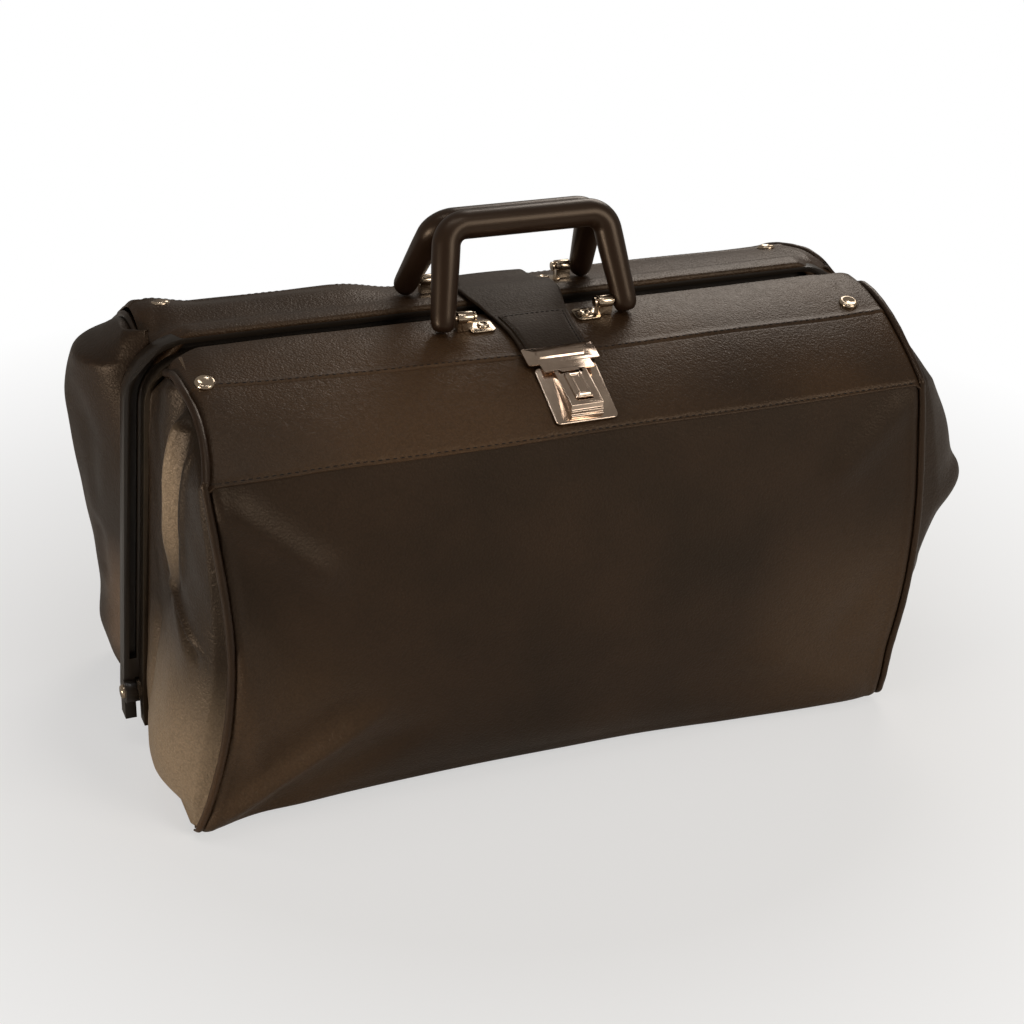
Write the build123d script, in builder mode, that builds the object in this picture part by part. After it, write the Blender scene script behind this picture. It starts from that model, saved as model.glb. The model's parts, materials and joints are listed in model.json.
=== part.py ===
"""A framed leatherette medical bag: two hinged U-shaped mouth frames, a closure strap with a hasp,
a slide-button lock and two folding carrying handles.

Millimetres. X runs along the bag, the front looks along -Y, Z is up, and the origin is the middle of the
footprint on the table. The bag is drawn closed and latched, with the handles leaning on each other.
"""

import math
import os

from build123d import *

os.makedirs("parts", exist_ok=True)

# Overall sizes
base_length = 500.0
base_depth = 232.0
crest_height = 287.0
crest_half_gap = 9.0
shoulder_drop = 37.0
shoulder_overhang = 7.0
shoulder_radius = 14.0
belly_bulge = 17.0
belly_share = 0.48
yoke_inset = 12.0

# Leatherette and boards
floor_leather = 2.5
panel_leather = 3.0
yoke_leather = 3.0
gusset_leather = 4.0
lining_cloth = 1.2
base_board_thickness = 3.0
stiffener_thickness = 2.0
stiffener_reach = 66.0
stiffener_side_margin = 10.0
welt_radius = 3.0
floor_corner = 12.0
floor_edge = 0.8
board_corner = 8.0
panel_end_inset = 2.0

# Gusset folds, the slack leather that bulges out on each side of the frames' legs
fold_leather = 3.0
fold_low_lift = 22.0
fold_middle_share = 0.52
fold_top_drop = 6.0
fold_low_bulge = 11.7
fold_middle_bulge = 26.7
fold_middle_spread = 4.0
fold_top_spread = 2.6
fold_slant = 45.0
fold_inset = 5.0

# Mouth frames and their hinge
pivot_height = 40.0
frame_splay = 0.0556
front_frame_overhang = 10.3
front_frame_thickness = 4.0
front_frame_depth = 11.0
front_frame_corner = 30.0
front_frame_drop = 7.5
back_frame_step = 10.0
back_frame_thickness = 12.0
back_frame_depth = 12.0
back_frame_corner = 42.0
leg_tail = 22.5
frame_gap = 0.5
channel_width = 5.0
channel_depth = 6.0
ear_radius = 8.0
front_ear_boss = 2.0
washer_thickness = 1.2
washer_radius = 9.0
hinge_pin_radius = 2.5
hinge_cap_radius = 4.75
hinge_cap_height = 2.4
hinge_plate_thickness = 1.5
hinge_plate_corner = 4.0
hinge_plate_width = 26.0
hinge_plate_height = 24.0
clinch_height = 1.4
clinch_radius = 4.5

# Corner rivets
corner_rivet_inset = 16.5
corner_rivet_y = 56.0
corner_cap_radius = 6.75
corner_cap_height = 2.2
rivet_shank_radius = 1.8

# Handles and their hinge plates
handle_pivot_y = 33.0
handle_pivot_lift = 8.7
handle_foot_x = 63.0
handle_splay = 9.0
handle_height = 57.5
handle_foot_radius = 7.9
handle_bar_radius = 9.1
handle_corner = 14.0
front_handle_lean = math.radians(21.0)
handle_rest_gap = 0.4
handle_pin_radius = 2.0
knuckle_radius = 3.9
knuckle_start_x = 43.5
knuckle_end_x = 54.0
plate_start_x = 28.5
plate_width = 14.0
plate_thickness = 1.2
plate_rivet_x = 35.5
plate_rivet_cap = 3.6

# Strap and hasp
strap_layer = 1.5
facing_layer = 1.2
strap_lift = 0.4
strap_root_y = 3.0
strap_bend_y = 25.0
strap_tip_y = 80.0
strap_tip_half = 22.5
strap_bend_half = 26.0
strap_root_half = 33.0
anchor_half = 27.0
anchor_end_y = 66.0
bend_radius = 1.0
facing_half = 19.0
facing_start_y = 27.5
hasp_y = 73.5
hasp_length = 48.5
hasp_width = 15.0
hasp_metal = 1.3
hasp_tongue_half = 17.0
staple_half = 6.0
boss_length = 33.0
boss_width = 6.0
boss_corner = 1.5
boss_rise = 1.0

# Lock
lock_y = 101.0
lock_plate_length = 44.0
lock_plate_width = 42.0
lock_plate_metal = 1.3
lock_backing_metal = 1.0
housing_half = 10.8
housing_low = -19.5
housing_high = 15.0
housing_low_height = 9.6
housing_high_height = 5.6
housing_wall = 1.3
button_travel = 4.0
button_half = 5.2
button_reach = 7.0
button_cap_half = 5.8
button_cap_low = -10.0
button_cap_high = 11.8
slider_half = 8.6
slider_reach = 7.6
slider_thickness = 1.7
button_stand = 1.1
bolt_half = 4.0
bolt_reach = 13.4
bolt_thickness = 1.2
notch_half = 8.0
notch_start = 12.4
prong_x = 16.0
prong_v = 15.0
prong_width = 3.0
prong_thickness = 1.0
spring_wire = 0.25
spring_radius = 1.2
spring_coils = 5
spring_room_half = 2.0
spring_room_low = -17.3
spring_room_height = 3.4

# Clearances
cloth_gap = 0.3
metal_gap = 0.2
hinge_gap = 0.08
running_gap = 0.4
sweep_gap = 4.0
leg_gap = 2.2
seat_gap = 1.0
gusset_gap = 2.0
lining_gap = 0.5

# Sizes that follow from the ones above
shoulder_half_depth = base_depth / 2 + shoulder_overhang
shoulder_height = crest_height - shoulder_drop
belly_half_depth = base_depth / 2 + belly_bulge
belly_height = belly_share * shoulder_height
half_yoke = base_length / 2 - yoke_inset
corner_rivet_x = half_yoke - corner_rivet_inset
front_frame_half_width = base_length / 2 + front_frame_overhang
front_frame_top = crest_height - front_frame_drop
back_frame_half_width = front_frame_half_width + back_frame_step
back_frame_top = crest_height
front_lip_y = frame_gap + front_frame_depth + cloth_gap
back_lip_y = frame_gap + back_frame_depth + cloth_gap
rim_top = back_frame_top + cloth_gap + yoke_leather

# The arch of the yokes: level at the crest, falling away to the shoulder seam
arch_run = shoulder_half_depth - crest_half_gap
arch_radius = (arch_run**2 + shoulder_drop**2) / (2 * shoulder_drop)
arch_centre_z = crest_height - arch_radius
shoulder_angle = math.asin(arch_run / arch_radius)
lip_half_depth = shoulder_half_depth + shoulder_radius * (1 - math.sin(shoulder_angle))
lip_height = shoulder_height - shoulder_radius * math.cos(shoulder_angle)
panel_top = lip_height - sweep_gap
panel_bottom = floor_leather + cloth_gap
front_frame_bottom = front_frame_top - front_frame_thickness
sweep_radius = front_frame_bottom - pivot_height
static_radius = sweep_radius - front_frame_corner - frame_gap

LEFT, RIGHT = -1, 1
FRONT, BACK = -1, 1
SIDE_NAMES = {LEFT: "left", RIGHT: "right"}
FACE_NAMES = {FRONT: "front", BACK: "back"}


def save(builder, name):
    """Label a finished piece and write it to its own file."""
    builder.part.label = name
    export_step(builder.part, f"parts/{name}.step")


def arch_point(y, drop, face):
    """The point of the arch at depth y from the middle, drop below the outer surface."""
    height = math.sqrt((arch_radius - drop) ** 2 - (y - crest_half_gap) ** 2)
    return (face * y, arch_centre_z + height)


def arch_tilt(y):
    """The slope of the arch, in radians, at depth y from the middle."""
    return math.asin((y - crest_half_gap) / arch_radius)


def arch_plane(y, lift, face):
    """A plane tangent to the arch at depth y, lifted off it; its Y axis points towards the back."""
    tilt = arch_tilt(y)
    foot_y, foot_z = arch_point(y, 0, face)
    normal = (0, face * math.sin(tilt), math.cos(tilt))
    origin = (0, foot_y + normal[1] * lift, foot_z + normal[2] * lift)
    return Plane(origin=origin, x_dir=(1, 0, 0), z_dir=normal)


def arch_band(y_start, y_end, top_drop, bottom_drop, face):
    """The slice of the arch between two depths and two drops, as a flat outline in Y and Z."""
    y_middle = (y_start + y_end) / 2
    with BuildSketch() as band:
        with BuildLine():
            outer = ThreePointArc(
                arch_point(y_start, top_drop, face),
                arch_point(y_middle, top_drop, face),
                arch_point(y_end, top_drop, face),
            )
            inner = ThreePointArc(
                arch_point(y_start, bottom_drop, face),
                arch_point(y_middle, bottom_drop, face),
                arch_point(y_end, bottom_drop, face),
            )
            Line(outer @ 0, inner @ 0)
            Line(outer @ 1, inner @ 1)
        make_face()
    return band.sketch


def belly_points(inset, face):
    """Three points of the panel's outer profile, moved inwards by inset: bottom, belly and top."""
    return (
        (face * (base_depth / 2 - inset), panel_bottom),
        (face * (belly_half_depth - inset), belly_height),
        (face * (lip_half_depth - inset), panel_top),
    )


def frame_line(half_width, z):
    """How far out a frame's outer edge lies at height z: the legs spread towards the hinge."""
    return half_width - frame_splay * (z - pivot_height)


def end_line(z):
    """How far out the gusset's outer face lies at height z: just inside the front frame's leg."""
    return frame_line(front_frame_half_width, z) - front_frame_thickness - leg_gap


def panel_end(z):
    """How far out the lower panels reach at height z."""
    low = base_length / 2 - panel_end_inset
    return low + (half_yoke - low) * z / lip_height


# Bottom panel: the leatherette the bag stands on, the root of everything else
with BuildPart() as bottom_panel:
    with BuildSketch(Plane.XY):
        RectangleRounded(base_length, base_depth, floor_corner)
    extrude(amount=floor_leather)
    fillet(bottom_panel.edges().group_by(Axis.Z)[0], floor_edge)
save(bottom_panel, "bottom_panel")

# Base board: the stiff sheet that lies inside on the bottom panel
board_depth = base_depth - 2 * (panel_leather + seat_gap)
board_length = base_length - 2 * (gusset_leather + seat_gap)
with BuildPart() as base_board:
    with BuildSketch(Plane.XY.offset(floor_leather)):
        RectangleRounded(board_length, board_depth, board_corner)
    extrude(amount=base_board_thickness)
save(base_board, "base_board")

# Lower panels: the front and back walls, with a slight belly
for face in (FRONT, BACK):
    with BuildPart() as panel:
        with BuildSketch(Plane.YZ):
            with BuildLine():
                outer = ThreePointArc(*belly_points(0, face))
                inner = ThreePointArc(*belly_points(panel_leather, face))
                Line(outer @ 0, inner @ 0)
                Line(outer @ 1, inner @ 1)
            make_face()
        extrude(amount=base_length, both=True)
        with BuildSketch(Plane.XZ):
            with BuildLine():
                Polyline(
                    (-panel_end(0), 0),
                    (panel_end(0), 0),
                    (panel_end(lip_height), lip_height),
                    (-panel_end(lip_height), lip_height),
                    close=True,
                )
            make_face()
        extrude(amount=base_depth, both=True, mode=Mode.INTERSECT)
    save(panel, f"{FACE_NAMES[face]}_panel")

# Gussets: the end walls inside the frames' legs, widest at the hinge
gusset_inset = panel_leather + gusset_gap
gusset_top = pivot_height + static_radius + seat_gap
for side in (LEFT, RIGHT):
    with BuildPart() as gusset:
        with BuildSketch(Plane.XZ):
            with BuildLine():
                Polyline(
                    (side * (base_length / 2), panel_bottom),
                    (side * end_line(pivot_height), pivot_height),
                    (side * end_line(gusset_top), gusset_top),
                    (side * (end_line(gusset_top) - gusset_leather), gusset_top),
                    (side * (end_line(pivot_height) - gusset_leather), pivot_height),
                    (side * (base_length / 2 - gusset_leather), panel_bottom),
                    close=True,
                )
            make_face()
        extrude(amount=base_depth, both=True)
        with BuildSketch(Plane.YZ):
            with BuildLine():
                near = ThreePointArc(*belly_points(gusset_inset, FRONT))
                far = ThreePointArc(*belly_points(gusset_inset, BACK))
                Line(near @ 0, far @ 0)
                Line(near @ 1, (FRONT * belly_half_depth, crest_height))
                Line(far @ 1, (BACK * belly_half_depth, crest_height))
                Line((FRONT * belly_half_depth, crest_height), (BACK * belly_half_depth, crest_height))
            make_face()
            with Locations((0, pivot_height)):
                Circle(static_radius, mode=Mode.INTERSECT)
        extrude(amount=base_length, both=True, mode=Mode.INTERSECT)
        with BuildSketch(Plane.YZ):
            with Locations((0, pivot_height)):
                Circle(hinge_pin_radius + metal_gap)
        extrude(amount=base_length, both=True, mode=Mode.SUBTRACT)
    save(gusset, f"{SIDE_NAMES[side]}_gusset")

# Lining: a thin cloth tray just inside the panels and gussets
lining_floor = floor_leather + base_board_thickness + cloth_gap
lining_end_inset = gusset_leather + hinge_plate_thickness + clinch_height + seat_gap
lining_inset = panel_leather + lining_gap


def lining_block(inset):
    """The space inside the walls, inset further on every side, as a private solid."""
    with BuildPart() as block:
        with BuildSketch(Plane.YZ):
            with BuildLine():
                near = ThreePointArc(*belly_points(lining_inset + inset, FRONT))
                far = ThreePointArc(*belly_points(lining_inset + inset, BACK))
                Line(near @ 0, far @ 0)
                Line(near @ 1, far @ 1)
            make_face()
        extrude(amount=base_length, both=True)
        with BuildSketch(Plane.XZ):
            reach_low = base_length / 2 - lining_end_inset - inset
            reach_high = end_line(panel_top) - lining_end_inset - inset
            with BuildLine():
                Polyline(
                    (-reach_low, lining_floor + inset),
                    (reach_low, lining_floor + inset),
                    (reach_high, panel_top + inset),
                    (-reach_high, panel_top + inset),
                    close=True,
                )
            make_face()
        extrude(amount=base_depth, both=True, mode=Mode.INTERSECT)
        with BuildSketch(Plane.YZ):
            with Locations((0, pivot_height)):
                Circle(static_radius)
        extrude(amount=base_length, both=True, mode=Mode.INTERSECT)
    return block.part


with BuildPart() as lining:
    add(lining_block(0))
    add(lining_block(lining_cloth), mode=Mode.SUBTRACT)
save(lining, "lining")

# Lower welts: the piping that closes the corner between panel and gusset
for face in (FRONT, BACK):
    for side in (LEFT, RIGHT):
        edge_profile = ThreePointArc(*belly_points(panel_leather / 2, face))
        path_points = []
        for share in (0.01, 0.5, 0.975):
            depth, height = (edge_profile @ share).X, (edge_profile @ share).Y
            reach = panel_end(height) + cloth_gap + welt_radius
            path_points.append((side * reach, depth, height))
        with BuildPart() as welt:
            with BuildLine():
                path = ThreePointArc(*path_points)
            with BuildSketch(Plane(origin=path @ 0, z_dir=path % 0)):
                Circle(welt_radius)
            sweep(path=path)
            split(bisect_by=Plane.XY.offset(panel_bottom), keep=Keep.TOP)
        save(welt, f"{FACE_NAMES[face]}_{SIDE_NAMES[side]}_welt")

# Mouth frames: U-shaped steel, rail along the mouth and legs down past the hinge rivets


def frame_outline(half_width, inset, top, corner):
    """One frame's filled outline in X and Z, moved inwards by inset, from the hinge up to the rail."""
    foot = frame_line(half_width, pivot_height) - inset
    shoulder = frame_line(half_width, top) - inset
    with BuildSketch() as outline:
        with BuildLine():
            FilletPolyline(
                (-foot, pivot_height),
                (-shoulder, top - inset),
                (shoulder, top - inset),
                (foot, pivot_height),
                radius=corner - inset,
            )
            Line((foot, pivot_height), (-foot, pivot_height))
        make_face()
    return outline.sketch


gusset_reach = end_line(pivot_height)
washer_start = gusset_reach + metal_gap
front_ear_start = washer_start + washer_thickness + metal_gap
front_ear_end = front_frame_half_width + front_ear_boss
back_ear_start = front_ear_end + frame_gap
back_ear_end = back_frame_half_width
cap_start = back_ear_end + metal_gap

with BuildPart() as front_frame:
    with BuildSketch(Plane.XZ.offset(frame_gap)):
        add(frame_outline(front_frame_half_width, 0, front_frame_top, front_frame_corner))
        add(
            frame_outline(front_frame_half_width, front_frame_thickness, front_frame_top, front_frame_corner),
            mode=Mode.SUBTRACT,
        )
    extrude(amount=front_frame_depth)
    for side in (LEFT, RIGHT):
        with BuildSketch(Plane.YZ.offset(side * (front_ear_start + front_ear_end) / 2)):
            with Locations((0, pivot_height)):
                Circle(ear_radius)
        extrude(amount=(front_ear_end - front_ear_start) / 2, both=True)
        # The tail: the leg's strip runs on below the hinge
        with BuildSketch(Plane.YZ.offset(side * (front_frame_half_width - front_frame_thickness / 2))):
            with Locations((-frame_gap - front_frame_depth / 2, pivot_height - leg_tail / 2)):
                Rectangle(front_frame_depth, leg_tail)
        extrude(amount=front_frame_thickness / 2, both=True)
    with BuildSketch(Plane.YZ):
        with Locations((0, pivot_height)):
            Circle(hinge_pin_radius + hinge_gap)
    extrude(amount=base_length, both=True, mode=Mode.SUBTRACT)
save(front_frame, "front_frame")

with BuildPart() as back_frame:
    with BuildSketch(Plane.XZ.offset(-frame_gap)):
        add(frame_outline(back_frame_half_width, 0, back_frame_top, back_frame_corner))
        add(
            frame_outline(back_frame_half_width, back_frame_thickness, back_frame_top, back_frame_corner),
            mode=Mode.SUBTRACT,
        )
    extrude(amount=-back_frame_depth)
    # The channel in the front face, where the edge of the covering is tucked in
    channel_outer = (back_frame_thickness - channel_width) / 2
    channel_inner = channel_outer + channel_width
    with BuildSketch(Plane.XZ.offset(-frame_gap)):
        add(frame_outline(back_frame_half_width, channel_outer, back_frame_top, back_frame_corner))
        add(
            frame_outline(back_frame_half_width, channel_inner, back_frame_top, back_frame_corner),
            mode=Mode.SUBTRACT,
        )
        with Locations((0, pivot_height)):
            Rectangle(3 * base_length, 6 * ear_radius, mode=Mode.SUBTRACT)
    extrude(amount=-channel_depth, mode=Mode.SUBTRACT)
    for side in (LEFT, RIGHT):
        # Room for the front frame's ear, which turns inside this leg's foot
        room_end = side * (back_ear_start - base_length / 4)
        with BuildSketch(Plane.YZ.offset(room_end)):
            with Locations((0, pivot_height)):
                Circle(ear_radius + seat_gap)
        extrude(amount=side * base_length / 4, mode=Mode.SUBTRACT)
        # The ear and the tail below it lie outside the front frame's
        with BuildSketch(Plane.YZ.offset(side * (back_ear_start + back_ear_end) / 2)):
            with Locations((0, pivot_height)):
                Circle(ear_radius)
            with Locations((frame_gap + back_frame_depth / 2, pivot_height - leg_tail / 2)):
                Rectangle(back_frame_depth, leg_tail)
        extrude(amount=(back_ear_end - back_ear_start) / 2, both=True)
    with BuildSketch(Plane.YZ):
        with Locations((0, pivot_height)):
            Circle(hinge_pin_radius + hinge_gap)
    extrude(amount=base_length, both=True, mode=Mode.SUBTRACT)
save(back_frame, "back_frame")

# Hinge hardware at each end: inner plate, washer and the rivet that both frames turn on
lower_slope = (gusset_reach - base_length / 2) / (pivot_height - panel_bottom)
plate_outer = gusset_reach - gusset_leather - lower_slope * hinge_plate_height / 2 - metal_gap
plate_inner = plate_outer - hinge_plate_thickness
clinch_outer = plate_inner - metal_gap
hinge_shank = cap_start - clinch_outer
cap_rounding = 0.9


def rivet(shank_radius, foot_radius, cap_radius, cap_height, length):
    """A rivet standing on the origin: clinched foot below, shank up to length, then a rounded cap."""
    with BuildPart() as pattern:
        with BuildSketch(Plane.XY.offset(-clinch_height)):
            Circle(foot_radius)
        extrude(amount=clinch_height)
        with BuildSketch(Plane.XY):
            Circle(shank_radius)
        extrude(amount=length)
        with BuildSketch(Plane.XY.offset(length)):
            Circle(cap_radius)
        extrude(amount=cap_height)
        fillet(pattern.edges().sort_by(Axis.Z)[-1], radius=cap_rounding * cap_height)
    return pattern.part


for side in (LEFT, RIGHT):
    with BuildPart() as hinge_plate:
        with BuildSketch(Plane.YZ.offset(side * (plate_outer + plate_inner) / 2)):
            with Locations((0, pivot_height)):
                RectangleRounded(hinge_plate_width, hinge_plate_height, hinge_plate_corner)
                Circle(hinge_pin_radius + metal_gap, mode=Mode.SUBTRACT)
        extrude(amount=hinge_plate_thickness / 2, both=True)
    save(hinge_plate, f"{SIDE_NAMES[side]}_hinge_plate")

    with BuildPart() as hinge_washer:
        with BuildSketch(Plane.YZ.offset(side * (washer_start + washer_thickness / 2))):
            with Locations((0, pivot_height)):
                Circle(washer_radius)
                Circle(hinge_pin_radius + metal_gap, mode=Mode.SUBTRACT)
        extrude(amount=washer_thickness / 2, both=True)
    save(hinge_washer, f"{SIDE_NAMES[side]}_hinge_washer")

    foot_centre = (side * clinch_outer, 0, pivot_height)
    hinge_foot = Plane(origin=foot_centre, x_dir=(0, 1, 0), z_dir=(side, 0, 0))
    with BuildPart() as hinge_rivet:
        with Locations(hinge_foot.location):
            add(rivet(hinge_pin_radius, clinch_radius, hinge_cap_radius, hinge_cap_height, hinge_shank))
    save(hinge_rivet, f"{SIDE_NAMES[side]}_hinge_rivet")

# Gusset folds: four bulging quarters, each carried by its own frame
fold_low = pivot_height + fold_low_lift
fold_top = crest_height - fold_top_drop
fold_middle = pivot_height + fold_middle_share * (fold_top - pivot_height)
fold_low_reach = frame_line(front_frame_half_width, fold_low)
fold_middle_reach = frame_line(front_frame_half_width, fold_middle) + fold_middle_spread
fold_top_reach = frame_line(front_frame_half_width, fold_top) + fold_top_spread
for face in (FRONT, BACK):
    fold_start = front_lip_y if face == FRONT else back_lip_y
    for side in (LEFT, RIGHT):
        with BuildPart() as fold:
            for height, bulge, far_reach in (
                (fold_low, front_frame_half_width + fold_low_bulge, fold_low_reach),
                (fold_middle, front_frame_half_width + fold_middle_bulge, fold_middle_reach),
                (fold_top, fold_top_reach + lining_gap, fold_top_reach),
            ):
                near_reach = max(frame_line(front_frame_half_width, height), fold_top_reach)
                with BuildSketch(Plane.XY.offset(height)):
                    with BuildLine():
                        outer = ThreePointArc(
                            (side * near_reach, face * fold_start),
                            (side * bulge, face * (fold_start + belly_half_depth) / 2),
                            (side * far_reach, face * belly_half_depth),
                        )
                        inner = ThreePointArc(
                            (side * (near_reach - fold_leather), face * fold_start),
                            (side * (bulge - fold_leather), face * (fold_start + belly_half_depth) / 2),
                            (side * (far_reach - fold_leather), face * belly_half_depth),
                        )
                        Line(outer @ 0, inner @ 0)
                        Line(outer @ 1, inner @ 1)
                    make_face()
            loft()
            with BuildSketch(Plane.YZ):
                with BuildLine():
                    edge = ThreePointArc(*belly_points(fold_inset, face))
                    low_far = (face * (belly_half_depth - fold_inset), fold_low + fold_slant)
                    Polyline(
                        edge @ 1,
                        (face * shoulder_half_depth, fold_top),
                        (face * fold_start, fold_top),
                        (face * fold_start, fold_low),
                        (face * belly_half_depth / 2, fold_low),
                        edge @ 0,
                    )
                make_face()
                with BuildLine():
                    Polyline(
                        (0, fold_low),
                        (face * belly_half_depth / 2, fold_low),
                        low_far,
                        (face * 2 * belly_half_depth, fold_low + fold_slant),
                        (face * 2 * belly_half_depth, 0),
                        (0, 0),
                        close=True,
                    )
                make_face(mode=Mode.SUBTRACT)
                with Locations((face * crest_half_gap, arch_centre_z)):
                    Circle(arch_radius - 2 * yoke_leather, mode=Mode.INTERSECT)
            extrude(amount=base_length, both=True, mode=Mode.INTERSECT)
        save(fold, f"{FACE_NAMES[face]}_{SIDE_NAMES[side]}_gusset_fold")

# Yokes: the arched upper panels carried by the frames, with their stiffeners and piping


def yoke_section(face):
    """The yoke's arched wall, its rounded shoulder lip and its edge at the mouth, in Y and Z."""
    start = front_lip_y if face == FRONT else back_lip_y + yoke_leather
    turn = (math.pi / 2 + shoulder_angle) / 2
    centre_y = shoulder_half_depth - shoulder_radius * math.sin(shoulder_angle)
    centre_z = shoulder_height - shoulder_radius * math.cos(shoulder_angle)
    inner_radius = shoulder_radius - yoke_leather
    with BuildSketch() as section:
        add(arch_band(start, shoulder_half_depth, 0, yoke_leather, face))
        with BuildLine():
            outer = ThreePointArc(
                arch_point(shoulder_half_depth, 0, face),
                (
                    face * (centre_y + shoulder_radius * math.sin(turn)),
                    centre_z + shoulder_radius * math.cos(turn),
                ),
                (face * (centre_y + shoulder_radius), centre_z),
            )
            inner = ThreePointArc(
                arch_point(shoulder_half_depth, yoke_leather, face),
                (
                    face * (centre_y + inner_radius * math.sin(turn)),
                    centre_z + inner_radius * math.cos(turn),
                ),
                (face * (centre_y + inner_radius), centre_z),
            )
            Line(outer @ 0, inner @ 0)
            Line(outer @ 1, inner @ 1)
        make_face()
        if face == FRONT:
            # Turned down against the front rail
            turn_top = arch_point(front_lip_y, yoke_leather / 4, FRONT)[1]
            with Locations((-front_lip_y - yoke_leather / 2, (front_frame_bottom + turn_top) / 2)):
                Rectangle(yoke_leather, turn_top - front_frame_bottom)
        else:
            # Turned up and laid over the back rail
            rim_end = back_lip_y + 2 * yoke_leather
            with Locations(((frame_gap + rim_end) / 2, rim_top - yoke_leather / 2)):
                Rectangle(rim_end - frame_gap, yoke_leather)
            step_bottom = crest_height - yoke_leather
            with Locations((rim_end - yoke_leather / 2, (rim_top + step_bottom) / 2)):
                Rectangle(yoke_leather, rim_top - step_bottom)
    return section.sketch


lock_plane = arch_plane(lock_y, metal_gap, FRONT)


def rivet_places(face):
    """Planes on the yoke where a shank passes through: the two corner caps and the two handle plates."""
    places = []
    for side in (LEFT, RIGHT):
        corner = arch_plane(corner_rivet_y, 0, face)
        places.append(corner.shift_origin(corner.from_local_coords((side * corner_rivet_x, 0, 0))))
        plate = arch_plane(handle_pivot_y, 0, face)
        places.append(plate.shift_origin(plate.from_local_coords((side * plate_rivet_x, 0, 0))))
    return places


for face in (FRONT, BACK):
    name = FACE_NAMES[face]
    with BuildPart() as yoke:
        with BuildSketch(Plane.YZ):
            add(yoke_section(face))
        extrude(amount=half_yoke, both=True)
        for place in rivet_places(face):
            with BuildSketch(place.offset(4)):
                Circle(rivet_shank_radius + metal_gap)
            extrude(amount=-12, mode=Mode.SUBTRACT)
        if face == FRONT:
            with BuildSketch(lock_plane.offset(2)):
                with GridLocations(2 * prong_x, 2 * prong_v, 2, 2):
                    Rectangle(prong_width + 2 * metal_gap, prong_thickness + 2 * metal_gap)
            extrude(amount=-10, mode=Mode.SUBTRACT)
    save(yoke, f"{name}_yoke")

    stiffener_start = (front_lip_y if face == FRONT else back_lip_y) + 2 * yoke_leather + seat_gap
    with BuildPart() as stiffener:
        with BuildSketch(Plane.YZ):
            top_drop = yoke_leather + metal_gap
            add(arch_band(stiffener_start, stiffener_reach, top_drop, top_drop + stiffener_thickness, face))
        extrude(amount=half_yoke - stiffener_side_margin, both=True)
        for place in rivet_places(face):
            with BuildSketch(place.offset(4)):
                Circle(rivet_shank_radius + metal_gap)
            extrude(amount=-12, mode=Mode.SUBTRACT)
    save(stiffener, f"{name}_stiffener")

    # Piping along both ends of the yoke, one piece each side
    with BuildPart() as yoke_welts:
        for side in (LEFT, RIGHT):
            reach = side * (half_yoke + cloth_gap + welt_radius)
            middle_drop = yoke_leather / 2
            lip_y = front_lip_y if face == FRONT else back_lip_y
            start_y = lip_y + yoke_leather + welt_radius + seat_gap
            y_values = (start_y, (start_y + shoulder_half_depth) / 2, shoulder_half_depth)
            arc_points = []
            for y_value in y_values:
                point_y, point_z = arch_point(y_value, middle_drop, face)
                arc_points.append((reach, point_y, point_z))
            with BuildLine():
                path = ThreePointArc(*arc_points)
            with BuildSketch(Plane(origin=path @ 0, z_dir=path % 0)):
                Circle(welt_radius)
            sweep(path=path)
    save(yoke_welts, f"{name}_yoke_welts")

# Corner rivets and handle-plate rivets, each with a rounded cap and a clinched foot
stack = yoke_leather + metal_gap + stiffener_thickness + metal_gap
plate_cap_height = corner_cap_height * plate_rivet_cap / corner_cap_radius
clinch_small = clinch_radius * 0.7
corner_shank = stack + metal_gap
plate_shank = stack + plate_thickness + 2 * metal_gap
for face in (FRONT, BACK):
    foot_plane = arch_plane(corner_rivet_y, -stack, face)
    with BuildPart() as corner_rivets:
        for side in (LEFT, RIGHT):
            spot = foot_plane.from_local_coords((side * corner_rivet_x, 0, 0))
            with Locations(Plane(origin=spot, x_dir=(1, 0, 0), z_dir=foot_plane.z_dir).location):
                caps = (corner_cap_radius, corner_cap_height)
                add(rivet(rivet_shank_radius, clinch_small, *caps, corner_shank))
    save(corner_rivets, f"{FACE_NAMES[face]}_corner_rivets")

    foot_plane = arch_plane(handle_pivot_y, -stack, face)
    with BuildPart() as handle_rivets:
        for side in (LEFT, RIGHT):
            spot = foot_plane.from_local_coords((side * plate_rivet_x, 0, 0))
            with Locations(Plane(origin=spot, x_dir=(1, 0, 0), z_dir=foot_plane.z_dir).location):
                add(rivet(rivet_shank_radius, clinch_small, plate_rivet_cap, plate_cap_height, plate_shank))
    save(handle_rivets, f"{FACE_NAMES[face]}_handle_rivets")

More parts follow.
